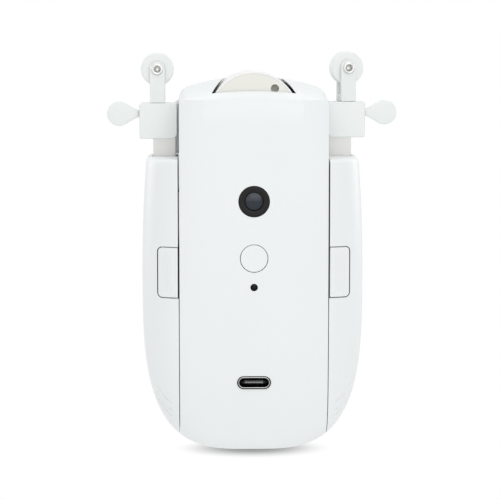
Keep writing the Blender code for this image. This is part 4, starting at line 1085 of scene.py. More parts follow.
@dataclass
class CentreColumn:
    """The tall front cover with its panel and wheel slot, and the shallow rear cover."""

    form: BodyForm = field(default_factory=BodyForm)
    wall: float = 2.0 * MM
    gap: float = 0.3 * MM
    seam_edge: float = 0.22 * MM
    seam_y: float = 9.15 * MM
    frame_back_y: float = 11.65 * MM
    wheel_z: float = WHEEL_Z
    slot_radius: float = 13.45 * MM
    slot_front: float = -19.55 * MM
    slot_back: float = 7.65 * MM
    boss_radius: float = 5.5 * MM
    boss_end: float = -16.65 * MM
    seat_radius: float = 4.3 * MM
    sensor_hole: Flat = (SENSOR_Z, 4.4 * MM)
    button_hole: Flat = (BUTTON_Z, 3.95 * MM)
    indicator_hole: Flat = (INDICATOR_Z, 1.06 * MM)
    inlet_z: float = INLET_Z
    inlet_opening: Flat = (9.5 * MM, 3.66 * MM)
    screw_x: float = 15.6 * MM
    screw_heights: Flat = (16.9 * MM, 86.9 * MM)
    screw_boss: float = 2.9 * MM
    screw_hole: float = 1.3 * MM
    head_hole: float = 2.2 * MM
    head_seat: float = 4.5 * MM
    guide_depth: Flat = (4.8 * MM, 6.4 * MM)
    guide_heights: Flat = (83.9 * MM, 100.5 * MM)
    guide_reach: float = 1.6 * MM
    # The dark strips are painted shade, in the gaps between the arms' blocks and the column
    strip_thick: float = 0.3 * MM
    strip_heights: Flat = (84.6 * MM, 98.6 * MM)
    strip_depth: Flat = (-3.9 * MM, -0.5 * MM)
    # The dark liner is painted shade at the back of the wheel's slot
    liner_thick: float = 0.25 * MM
    liner_width: float = 4.5 * MM
    # A section stops at these shares of the block's depth and widths, short of where its curves end
    deepest_share: float = 0.97
    widest_share: float = 0.96
    roundest_share: float = 0.98
    front_steps: int = 32
    side_steps: int = 26
    back_steps: int = 8
    low_steps: int = 52
    high_steps: int = 22
    # How large each ring of the dome is, from its rim in
    dome_shares: tuple[float, ...] = (
        *(1.0, 0.998, 0.994, 0.988, 0.98, 0.97, 0.958, 0.944, 0.928, 0.908, 0.885, 0.855),
        *(0.82, 0.78, 0.73, 0.67, 0.6, 0.52, 0.43, 0.33, 0.22, 0.11),
    )

    def build(self) -> None:
        """Builds and dresses both covers, and the dark strips and liner that are painted shade in the gaps
        between them and what moves.
        """
        self._front_cover().piece("front_cover", Slot.WHITE_SHELL, "housing")
        self._rear_cover().piece("rear_cover", Slot.WHITE_SHELL, "housing")
        # Dark strips as painted shade in the gaps beside the arms' blocks
        for side in Side:
            name = f"{side.word}_guide_strip"
            self._guide_strip(side).piece(name, Slot.FRAME_PLASTIC, "housing", added=True)
        # A dark liner as painted shade at the back of the wheel's slot
        self._slot_liner().piece("slot_liner", Slot.FRAME_PLASTIC, "housing", added=True)

    def _section(self, form: BodyForm, z: float, limit: float, edge: float) -> list[Flat]:
        """One plan section of the column from its front to a depth.

        Args:
            form: The block it is cut from.
            z: The section's height.
            limit: The depth at which it ends.
            edge: How far its corners are eased.

        Returns:
            The closed section, from the middle of its front round to the left.
        """
        half = form.column_half - form.drawn_in
        furthest = self.deepest_share * form.deep(z)
        limit = max(-furthest, min(limit, furthest))
        reach = min(half, self.widest_share * form.wide(z))
        if limit < 0:
            reach = min(reach, self.roundest_share * form.side(limit, z))
        front = Line([(x, form.front(x, z)) for x in even(0.0, reach, SAMPLES)])
        edge_y = front.points[-1][1]
        side = Line([(min(half, form.side(y, z)), y) for y in even(edge_y, limit, SAMPLES)])
        back = Line([side.points[-1], (0.0, limit)])
        ease = min(edge, side.length / 4, back.length / 4)
        right = front.run(0.0, front.length - ease, self.front_steps)
        right += eased(front, side, ease)
        right += side.run(ease, side.length - ease, self.side_steps)
        right += eased(side, back, ease)
        right += back.run(ease, back.length, self.back_steps)
        return right + [(-x, y) for x, y in reversed(right[1:-1])]

    def _blank(self, form: BodyForm, limit: float, edge: float, flip: bool) -> Shape:
        """The column's solid from its front to a depth, or from its back, under the dome.

        Args:
            form: The block it is cut from.
            limit: The depth at which it ends, on the front half's side.
            edge: How far its upright corners are eased.
            flip: Whether it is the back half.

        Returns:
            The shape.
        """
        way = -1.0 if flip else 1.0
        straight = form.column_top - form.dome_height - 2 * self.wall
        heights = form.low_heights(self.low_steps)
        heights += even(form.widest_z, straight, self.high_steps)[1:]
        rings = [[(x, way * y, z) for x, y in self._section(form, z, limit, edge)] for z in heights]
        rim = self._section(form, straight, limit, edge)
        depths = [y for _, y in rim]
        middle = (min(depths) + max(depths)) / 2
        for share in self.dome_shares:
            places = [(share * x, middle + share * (y - middle)) for x, y in rim]
            rings.append([(x, way * y, form.top(x, y)) for x, y in places])
        rings.append([(0.0, way * middle, form.top(0.0, middle))])
        return Shape.loft(rings)

    def _front_cover(self) -> Shape:
        """The front cover: the panel, the column's sides, the slot, the openings and the guide ribs.

        Returns:
            The shape.
        """
        inner = BodyForm(drawn_in=self.wall)
        cover = self._blank(self.form, self.seam_y - self.gap / 2, self.seam_edge, flip=False)
        cover.cut(self._blank(inner, self.seam_y + self.wall, self.gap, flip=False))
        axis = at(0.0, self.wheel_z)
        boss, slot = self.boss_radius, self.slot_radius
        profile = [(0.0, self.boss_end), (boss, self.boss_end), (boss, self.slot_front)]
        profile += [(slot, self.slot_front), (slot, self.slot_back), (0.0, self.slot_back)]
        cover.cut(Shape.turned(profile, steps=128).moved(axis))
        boss_start = self.slot_front - self.wall / 2
        cover.join(Shape.rod(boss_start, self.boss_end, boss - self.gap / 4, steps=64).moved(axis))
        cover.cut(Shape.rod(self.slot_front, 0.0, self.seat_radius, steps=48).moved(axis))
        deep = 2 * self.form.half_deep
        for z, radius in (self.sensor_hole, self.button_hole, self.indicator_hole):
            cover.cut(Shape.rod(-deep, 0.0, radius, steps=72).moved(at(0.0, z)))
        cover.cut(Shape.slab(stadium(*self.inlet_opening, self.inlet_z), -deep, 0.0))
        low, high = self.guide_heights
        inside = self.form.column_half - self.wall / 2
        outside = self.form.column_half + self.guide_reach
        corners = [(inside, low, self.gap), (outside, low, self.gap)]
        corners += [(outside, high - self.wall, self.gap), (inside, high, self.gap)]
        for side in Side:
            cover.join(Shape.slab(side.mirrored(rounded(corners)), *self.guide_depth, self.gap / 2))
        return cover

    def _slot_liner(self) -> Shape:
        """A dark wall behind the wheel that shows through its slot: a painted shade for the shade in the
        slot.

        Returns:
            The shape.
        """
        fit = self.gap / 6
        outer, inner = self.slot_radius - fit, self.slot_radius - self.liner_width
        back = self.slot_back - 2 * fit
        front = back - self.liner_thick
        profile = [(inner, front), (outer, front), (outer, back), (inner, back)]
        liner = Shape.turned(profile, steps=128, closed=True).moved(at(0.0, self.wheel_z))
        low = (-2 * outer, front - self.wall, self.form.top(outer, back) - self.gap)
        return liner.cut(Shape.block(low, (2 * outer, back + self.wall, low[2] + 2 * outer)))

    def _guide_strip(self, side: Side) -> Shape:
        """A dark strip on the column's side beside the arm's block: a painted shade for the shade in the
        gap there.

        Args:
            side: The side it is on.

        Returns:
            The shape.
        """
        across = (self.form.column_half - self.gap / 3, self.form.column_half + self.strip_thick)
        corner = self.strip_thick / 2
        outline = soft_oblong(across, self.strip_heights, corner / 2, corner)
        return Shape.slab(side.mirrored(outline), *self.strip_depth)

    def _rear_cover(self) -> Shape:
        """The rear cover with the counterbored bosses of its four screws.

        Returns:
            The shape.
        """
        inner = BodyForm(drawn_in=self.wall)
        limit = -(self.seam_y + self.gap / 2)
        cover = self._blank(self.form, limit, self.seam_edge, flip=True)
        core = self._blank(inner, limit + 2 * self.wall, self.gap, flip=True)
        deep = 2 * self.form.half_deep
        places = [at(side.value * self.screw_x, z) for z in self.screw_heights for side in Side]
        for place in places:
            core.cut(Shape.rod(self.frame_back_y + self.gap, deep, self.screw_boss).moved(place))
        cover.cut(core)
        seat = self.frame_back_y + self.head_seat
        profile = [(0.0, 0.0), (self.screw_hole, 0.0), (self.screw_hole, seat), (self.head_hole, seat)]
        profile += [(self.head_hole, deep), (0.0, deep)]
        for place in places:
            cover.cut(Shape.turned(profile, steps=40).moved(place))
        return cover


@dataclass
class SideShell:
    """A side moulding with its window for the release tab, its post opening and its grip grooves."""

    side: Side
    form: BodyForm = field(default_factory=BodyForm)
    wall: float = 2.0 * MM
    inner_x: float = 21.2 * MM
    seam_edge: float = 0.15 * MM
    seam_close: float = 0.22 * MM
    seam_open_z: float = 60.0 * MM
    seam_run: float = 18.0 * MM
    inner_edge: float = 0.3 * MM
    top_edge: float = 1.2 * MM
    top_rise: float = 0.7 * MM
    opening_out: float = 28.55 * MM
    opening_half: float = 3.9 * MM
    opening_bottom: float = 62.0 * MM
    window_out: float = 27.05 * MM
    window_heights: Flat = (TAB_Z - 7.25 * MM, TAB_Z + 7.25 * MM)
    window_corner: float = 1.45 * MM
    window_near_corner: float = 0.1 * MM
    window_back: float = -14.0 * MM
    groove_radius: float = 0.3 * MM
    groove_sink: float = 0.06 * MM
    groove_lift: float = 0.36 * MM
    groove_curve: int = 6
    grooves: tuple[tuple[Flat, Flat, Flat], ...] = (
        ((27.5 * MM, 20.5 * MM), (25.7 * MM, 17.2 * MM), (23.0 * MM, 14.7 * MM)),
        ((27.2 * MM, 17.9 * MM), (25.3 * MM, 14.5 * MM), (22.8 * MM, 12.0 * MM)),
        ((27.6 * MM, 17.3 * MM), (25.9 * MM, 13.8 * MM), (22.8 * MM, 10.5 * MM)),
    )
    # The share of its half width where a section's front turns into its side, and how many times as
    # far out as its inner side the lowest section reaches at least
    split_share: float = 0.9
    foot_share: float = 1.004
    outside_samples: int = 80
    outside_steps: int = 96
    inside_steps: int = 10
    low_steps: int = 64
    seam_steps: int = 6
    high_steps: int = 14
    edge_steps: int = 6

    def _section(self, form: BodyForm, z: float, inner_x: float, edge: float) -> list[Flat]:
        """One plan section of the shell.

        Args:
            form: The block it is cut from.
            z: The section's height.
            inner_x: How far out its flat inner side lies.
            edge: How far its two corners are eased.

        Returns:
            The closed section, from its inner front corner round the outside.
        """
        split = max(inner_x, self.split_share * form.wide(z))
        points = []
        if split > inner_x:
            points += [(x, form.front(x, z)) for x in even(inner_x, split, SAMPLES)[:-1]]
        split_y = form.front(split, z)
        count = self.outside_samples
        depths = [split_y * (1 - i / count) for i in range(count + 1)]
        points += [(form.side(y, z), y) for y in depths]
        outside = Line(points + [(x, -y) for x, y in reversed(points[:-1])])
        inside = Line([outside.points[-1], outside.points[0]])
        ease = min(edge, outside.length / 6, inside.length / 6)
        ring = outside.run(ease, outside.length - ease, self.outside_steps)
        ring += eased(outside, inside, ease)
        ring += inside.run(ease, inside.length - ease, self.inside_steps)
        return ring + eased(inside, outside, ease)

    def _blank(self, form: BodyForm, inner_x: float, top: float, edge: float, top_edge: float) -> Shape:
        """The shell's solid.

        Args:
            form: The block it is cut from.
            inner_x: How far out its flat inner side lies.
            top: The height of its top.
            edge: How far its upright corners are eased.
            top_edge: The radius round its top.

        Returns:
            The shape.
        """
        way = self.side.value
        straight = top - top_edge
        least = self.foot_share * inner_x
        heights = [z for z in form.low_heights(self.low_steps) if form.wide(z) > least]
        steps = self.seam_steps
        heights += [form.widest_z + self.seam_run * i / steps for i in range(1, steps // 2 + 1)]
        heights += even(heights[-1], straight, self.high_steps)[1:]
        rings = []
        for z in heights:
            share = min(1.0, max(0.0, (self.seam_open_z - z) / self.seam_run))
            near = inner_x - self.seam_close * share
            rings.append([(way * x, y, z) for x, y in self._section(form, z, near, edge)])
        rim = self._section(form, straight, inner_x, edge)
        width = form.wide(straight) - inner_x
        for angle in even(0.0, QUARTER, self.edge_steps)[1:] if top_edge else []:
            drawn = top_edge * (1 - math.cos(angle))
            z = straight + top_edge * math.sin(angle)
            across = 1 - drawn / width
            along = 1 - drawn / form.deep(straight)
            rings.append([(way * (inner_x + (x - inner_x) * across), y * along, z) for x, y in rim])
        return Shape.loft(rings)

    def _groove(self, points: tuple[Flat, Flat, Flat]) -> Shape:
        """A round-bottomed groove that follows the shell's surface.

        Args:
            points: Its start, middle and end in the front view of the right side.

        Returns:
            The bar to cut it with.
        """
        start, middle, end = (Vector(point) for point in points)
        path = []
        for t in even(0.0, 1.0, PATH_STEPS):
            x, z = start * ((1 - t) * (1 - 2 * t)) + middle * (4 * t * (1 - t)) + end * (t * (2 * t - 1))
            lift = self.groove_lift * (2 * abs(t - 0.5)) ** self.groove_curve
            depth = self.form.front(x, z) + self.groove_sink - lift
            path.append(Vector((self.side.value * x, depth, z)))
        return Shape.tube(path, self.groove_radius)

    def build(self) -> None:
        """Builds and dresses the shell."""
        way = self.side.value
        top = self.form.shell_top + self.top_rise
        shell = self._blank(self.form, self.inner_x, top, self.seam_edge, self.top_edge)
        inner = BodyForm(drawn_in=self.wall)
        near = self.inner_x - self.wall
        shell.cut(self._blank(inner, near, top - self.wall, self.inner_edge, 0.0))
        low = (way * near, -self.opening_half, self.opening_bottom)
        high = (way * self.opening_out, self.opening_half, top + self.wall)
        shell.cut(Shape.block(low, high))
        across = (near, self.window_out)
        window = soft_oblong(across, self.window_heights, self.window_near_corner, self.window_corner)
        shell.cut(Shape.slab(self.side.mirrored(window), -2 * self.form.half_deep, self.window_back))
        for points in self.grooves:
            shell.cut(self._groove(points))
        shell.piece(f"{self.side.word}_side_shell", Slot.WHITE_SHELL, "housing")


@dataclass
class ReleaseTab:
    """A release tab: a ribbed key that follows the shell's surface, with a flange behind the wall."""

    side: Side
    form: BodyForm = field(default_factory=BodyForm)
    low_x: float = 21.25 * MM
    high_x: float = 26.8 * MM
    middle_z: float = TAB_Z
    half_high: float = 7.0 * MM
    corner: float = 1.2 * MM
    inner_corner: float = 0.3 * MM
    edge: float = 0.28 * MM
    flange: float = 1.2 * MM
    flange_sink: float = 2.35 * MM
    back: float = -14.0 * MM
    pocket: float = 1.8 * MM
    pocket_radius: float = 2.3 * MM
    rib_pitch: float = 0.62 * MM
    rib_depth: float = 0.12 * MM
    rib_curve: int = 8
    rib_sides: int = 8
    ribs: Flat = (22.9 * MM, 25.4 * MM)
    outline_steps: int = 180
    face_rings: int = 12
    edge_steps: int = 4

    def _outline(self, grow: float) -> list[Flat]:
        """The tab's front view, made taller by a flange.

        Args:
            grow: How much taller it is at each end.

        Returns:
            The outline of the right side's tab.
        """
        half = self.half_high
        up = (self.middle_z - half - grow, self.middle_z + half + grow)
        border = soft_oblong((self.low_x, self.high_x), up, self.inner_corner, self.corner)
        line = Line([*border, border[0]])
        return line.run(0.0, line.length, self.outline_steps)[:-1]

    def _ring(self, outline: Sequence[Flat], sunk: float = 0.0, share: float = 1.0) -> list[Triple]:
        """An outline laid on the shell's surface.

        Args:
            outline: The outline of the right side's tab.
            sunk: How far below the surface it lies.
            share: How large it is drawn, about the tab's middle.

        Returns:
            The ring on the tab's own side.
        """
        middle_x, middle_z = (self.low_x + self.high_x) / 2, self.middle_z
        places = [
            (middle_x + share * (x - middle_x), middle_z + share * (z - middle_z)) for x, z in outline
        ]
        return [(self.side.value * x, self.form.front(x, z) + sunk, z) for x, z in places]

    def build(self) -> None:
        """Builds and dresses the tab."""
        way = self.side.value
        outline = self._outline(0.0)
        face = inset(outline, self.edge)
        rings = [self._ring(face, share=k / self.face_rings) for k in range(1, self.face_rings)]
        for angle in even(0.0, QUARTER, self.edge_steps):
            drawn = inset(outline, self.edge * (1 - math.sin(angle)))
            rings.append(self._ring(drawn, self.edge * (1 - math.cos(angle))))
        behind = BodyForm(drawn_in=self.flange_sink)
        tall = self._outline(self.flange)
        rings.append([(way * x, behind.front(x, z), z) for x, z in inset(outline, self.edge / 5)])
        rings.append([(way * x, behind.front(x, z), z) for x, z in tall])
        rings.append([(way * x, self.back, z) for x, z in tall])
        tab = Shape.loft([self._ring(face[:1], share=0.0), *rings])
        tab.cut(*self._rib_bars())
        pocket = Shape.rod(self.back - self.pocket, -self.back, self.pocket_radius, steps=40)
        tab.cut(pocket.moved(at(way * (self.low_x + self.high_x) / 2, self.middle_z)))
        tab.piece(f"{self.side.word}_release_tab", Slot.WHITE_SHELL, f"{self.side.word}_release_tab")

    def _rib_bars(self) -> list[Shape]:
        """The bars that cut the fine upright grooves between the ribs.

        Returns:
            The bars.
        """
        first, last = self.ribs
        count = round((last - first) / self.rib_pitch)
        reach = self.half_high - self.corner
        bars = []
        for k in range(count + 1):
            x = first + self.rib_pitch * k
            path = []
            for t in even(-1.0, 1.0, PATH_STEPS):
                z = self.middle_z + reach * t
                lift = self.rib_depth * abs(t) ** self.rib_curve
                path.append(Vector((self.side.value * x, self.form.front(x, z) - lift, z)))
            bars.append(Shape.tube(path, self.rib_depth, self.rib_sides))
        return bars


@dataclass
class DriveWheel:
    """The cream hub with its four round holes, and the soft tread on it."""

    axis_z: float = WHEEL_Z
    radius: float = 12.6 * MM
    tread: float = 0.45 * MM
    tread_fit: float = 0.01 * MM
    front: float = -19.25 * MM
    back: float = 7.15 * MM
    rim: float = 1.6 * MM
    web: float = 6.0 * MM
    boss_radius: float = 4.5 * MM
    bore: float = 2.3 * MM
    recess_radius: float = 6.0 * MM
    recess: float = 3.1 * MM
    hole_radius: float = 1.15 * MM
    hole_deep: float = 4.2 * MM
    hole_place: float = 9.9 * MM
    hole_angle: float = math.radians(54.0)
    holes: int = 4
    edge: float = 0.12 * MM
    edge_steps: int = 4
    groove_half: float = 0.24 * MM
    groove_in: float = 1.44 * MM
    sides: int = 160

    def build(self) -> None:
        """Builds and dresses the hub and the tread."""
        axis = at(0.0, self.axis_z)
        self._hub().moved(axis).piece("drive_hub", Slot.CREAM_WHEEL, "drive_wheel")
        self._tread().moved(axis).piece("drive_tyre", Slot.WHEEL_RUBBER, "drive_wheel")

    def _hub(self) -> Shape:
        """The hub about its own axis.

        Returns:
            The shape.
        """
        outside = self.radius - self.tread - self.tread_fit
        front, back, edge = self.front, self.back, self.edge
        inside = outside - self.rim
        web_back = front + self.web
        floor = front + self.recess
        profile = [(self.recess_radius, front + edge), (self.recess_radius + edge, front)]
        profile += arc((outside - edge, front + edge), edge, -QUARTER, 0.0, self.edge_steps)
        profile += [(outside, back), (inside, back), (inside, web_back), (self.boss_radius, web_back)]
        profile += [(self.boss_radius, back), (self.bore, back)]
        profile += [(self.bore, floor), (self.recess_radius, floor)]
        hub = Shape.turned(profile, self.sides, closed=True)
        for k in range(self.holes):
            angle = self.hole_angle + 2 * math.pi * k / self.holes
            place = at(self.hole_place * math.cos(angle), self.hole_place * math.sin(angle))
            hole = Shape.rod(front - edge, front + self.hole_deep, self.hole_radius, steps=36)
            hub.cut(hole.moved(place))
        return hub

    def _tread(self) -> Shape:
        """The tread about its own axis: a soft ring with a shallow groove near each edge.

        Returns:
            The shape.
        """
        radius, groove = self.radius, self.groove_half
        front, back, edge = self.front, self.back, self.edge
        profile = [(radius - self.tread, front)]
        profile += arc((radius - edge, front + edge), edge, -QUARTER, 0.0, self.edge_steps)
        for middle in (front + self.groove_in, back - self.groove_in):
            profile += [(radius, middle - groove), (radius - edge, middle - groove / 2)]
            profile += [(radius - edge, middle + groove / 2), (radius, middle + groove)]
        profile += arc((radius - edge, back - edge), edge, 0.0, QUARTER, self.edge_steps)
        return Shape.turned([*profile, (radius - self.tread, back)], self.sides, closed=True)


@dataclass
class FrontFittings:
    """The small pieces on the panel's middle line: light sensor, button, indicator and charging inlet."""

    face: float = -21.75 * MM
    flange_front: float = -19.45 * MM
    flange_back: float = -18.45 * MM
    flange: float = 0.9 * MM
    sensor_z: float = SENSOR_Z
    bezel_radius: float = 4.35 * MM
    bezel_edge: float = 0.22 * MM
    lens_radius: float = 2.4 * MM
    lens_sink: Flat = (0.42 * MM, 0.7 * MM)
    lens_back: float = -19.65 * MM
    button_z: float = BUTTON_Z
    button_radius: float = 3.78 * MM
    button_edge: float = 0.2 * MM
    button_dish: float = 0.05 * MM
    plunger_radius: float = 1.7 * MM
    plunger_front: float = -17.95 * MM
    pipe_z: float = INDICATOR_Z
    pipe_radius: float = 1.0 * MM
    pipe_front: float = -21.5 * MM
    pipe_dome: float = 0.2 * MM
    pipe_back: float = -15.05 * MM
    pipe_colour: Colour = (0.006, 0.007, 0.007)
    pipe_roughness: float = 0.3
    pipe_gloss: float = 0.12
    inlet_z: float = INLET_Z
    inlet_size: Flat = (8.94 * MM, 3.2 * MM)
    inlet_skin: float = 0.3 * MM
    inlet_front: float = -21.45 * MM
    inlet_back: float = -15.05 * MM
    lip_steps: int = 8
    tongue_size: Flat = (6.7 * MM, 0.7 * MM)
    tongue_front: float = -20.55 * MM
    block_deep: float = 1.2 * MM
    contact_count: int = 12
    contact_pitch: float = 0.45 * MM
    contact_width: float = 0.3 * MM
    contact_thick: float = 0.03 * MM
    contact_set_back: float = 0.16 * MM
    plate_size: Flat = (5.0 * MM, 0.12 * MM)
    # The dark ring round the sleeve is painted shade in the gap between the sleeve and the panel
    gasket_size: Flat = (9.48 * MM, 3.64 * MM)
    gasket_depth: Flat = (-21.5 * MM, -20.4 * MM)
    gasket_fit: float = 0.02 * MM

    def build(self) -> None:
        """Builds and dresses every fitting."""
        at_sensor = at(0.0, self.sensor_z)
        self._bezel().moved(at_sensor).piece("sensor_bezel", Slot.BLACK_TRIM, "housing")
        self._lens().moved(at_sensor).piece("sensor_lens", Slot.SMOKED_LENS, "housing")
        self._button().moved(at(0.0, self.button_z)).piece("front_button", Slot.WHITE_SHELL, "front_button")
        look = (self.pipe_colour, self.pipe_roughness, "indicator_window")
        dark = SmokedPlastic(Slot.SMOKED_LENS, *look, gloss=self.pipe_gloss)
        pipe = self._light_pipe().moved(at(0.0, self.pipe_z))
        pipe.piece("status_light_pipe", Slot.SMOKED_LENS, "housing", dark)
        steel = FINISHES[Slot.STEEL]
        # The inlet's sleeve has a painted shade behind its lip
        lip = MouthSteel(Slot.STEEL, steel.colour, steel.roughness, "inlet_steel", lip_y=self.inlet_front)
        self._inlet_shell().piece("inlet_shell", Slot.STEEL, "housing", lip)
        self._inlet_tongue().piece("inlet_tongue", Slot.BLACK_TRIM, "housing")
        self._inlet_contacts().piece("inlet_contacts", Slot.STEEL, "housing", added=True)
        # A dark ring as painted shade in the gap round the sleeve
        self._inlet_gasket().piece("inlet_gasket", Slot.BLACK_TRIM, "housing", added=True)

    def _bezel(self) -> Shape:
        """The dark ring, with a chamfer down to the lens and a flange behind the panel.

        Returns:
            The shape.
        """
        outside, edge = self.bezel_radius, self.bezel_edge
        bore = self.lens_radius + edge / 4
        profile = [(outside, self.flange_front)]
        profile += arc((outside - edge, self.face + edge), edge, 0.0, -QUARTER, steps=4)
        profile += [(bore + 2 * edge, self.face), (bore + edge, self.face + edge / 3)]
        profile += [(bore, self.face + self.lens_sink[1]), (bore, self.flange_back)]
        profile += [(outside + self.flange, self.flange_back), (outside + self.flange, self.flange_front)]
        return Shape.turned(profile, steps=96, closed=True)

    def _lens(self) -> Shape:
        """The domed lens.

        Returns:
            The shape.
        """
        middle, rim = (self.face + sink for sink in self.lens_sink)
        profile = dished(self.lens_radius, middle, rim, steps=8)
        profile += [(self.lens_radius, self.lens_back), (0.0, self.lens_back)]
        return Shape.turned(profile)

    def _button(self) -> Shape:
        """The push button: a very shallow dish with a soft rim, its flange and its stem.

        Returns:
            The shape.
        """
        radius, edge = self.button_radius, self.button_edge
        profile = dished(radius - 2 * edge, self.face + self.button_dish, self.face, steps=6)
        profile += arc((radius - edge, self.face + edge), edge, -QUARTER, 0.0, steps=5)
        profile += [(radius, self.flange_front), (radius + self.flange, self.flange_front)]
        profile += [(radius + self.flange, self.flange_back), (self.plunger_radius, self.flange_back)]
        profile += [(self.plunger_radius, self.plunger_front), (0.0, self.plunger_front)]
        return Shape.turned(profile, steps=96)

    def _light_pipe(self) -> Shape:
        """The indicator's light pipe with its domed end.

        Returns:
            The shape.
        """
        profile = dished(self.pipe_radius, self.pipe_front, self.pipe_front + self.pipe_dome, steps=5)
        profile += [(self.pipe_radius, self.pipe_back), (0.0, self.pipe_back)]
        return Shape.turned(profile, steps=40)

    def _inlet_shell(self) -> Shape:
        """The inlet's metal sleeve with its rolled lip.

        Returns:
            The shape.
        """
        outline = stadium(*self.inlet_size, self.inlet_z)
        half = self.inlet_skin / 2
        rings = [[(x, self.inlet_back, z) for x, z in outline]]
        for angle in even(0.0, math.pi, self.lip_steps):
            drawn = inset(outline, half - half * math.cos(angle))
            rings.append([(x, self.inlet_front + half - half * math.sin(angle), z) for x, z in drawn])
        drawn = inset(outline, self.inlet_skin)
        rings.append([(x, self.inlet_back, z) for x, z in drawn])
        return Shape.loft(rings, cyclic=True)

    def _inlet_tongue(self) -> Shape:
        """The inlet's tongue with soft edges, on the block that closes the back of the sleeve.

        Returns:
            The shape.
        """
        sleeve = inset(stadium(*self.inlet_size, self.inlet_z), self.inlet_skin + self.contact_thick)
        block = Shape.slab(sleeve, self.inlet_back - self.block_deep, self.inlet_back)
        outline = stadium(*self.tongue_size, self.inlet_z)
        root = self.inlet_back - self.block_deep / 2
        return block.join(Shape.slab(outline, self.tongue_front, root, self.tongue_size[1] / 5))

    def _inlet_contacts(self) -> Shape:
        """The flat contacts on both faces of the tongue, and the edge of the plate inside it.

        Returns:
            The shape.
        """
        start = self.tongue_front + self.contact_set_back
        end = self.inlet_back - self.block_deep
        half = self.tongue_size[1] / 2
        wide, thick = self.plate_size[0] / 2, self.plate_size[1] / 2
        low = (-wide, self.tongue_front - self.contact_thick, self.inlet_z - thick)
        strips = [Shape.block(low, (wide, start, self.inlet_z + thick))]
        for face in (self.inlet_z - half, self.inlet_z + half):
            for i in range(self.contact_count):
                x = self.contact_pitch * (i - (self.contact_count - 1) / 2)
                low = (x - self.contact_width / 2, start, face - self.contact_thick)
                high = (x + self.contact_width / 2, end, face + self.contact_thick)
                strips.append(Shape.block(low, high))
        return Shape.gathered(strips)

    def _inlet_gasket(self) -> Shape:
        """A dark ring between the metal sleeve and the panel: a painted shade for the shade in the gap
        there.

        Returns:
            The shape.
        """
        width, height = self.inlet_size
        outer = stadium(*self.gasket_size, self.inlet_z)
        inner = stadium(width + self.gasket_fit, height + self.gasket_fit, self.inlet_z)
        front, back = self.gasket_depth
        edges = ((outer, front), (outer, back), (inner, back), (inner, front))
        return Shape.loft([[(x, y, z) for x, z in outline] for outline, y in edges], cyclic=True)


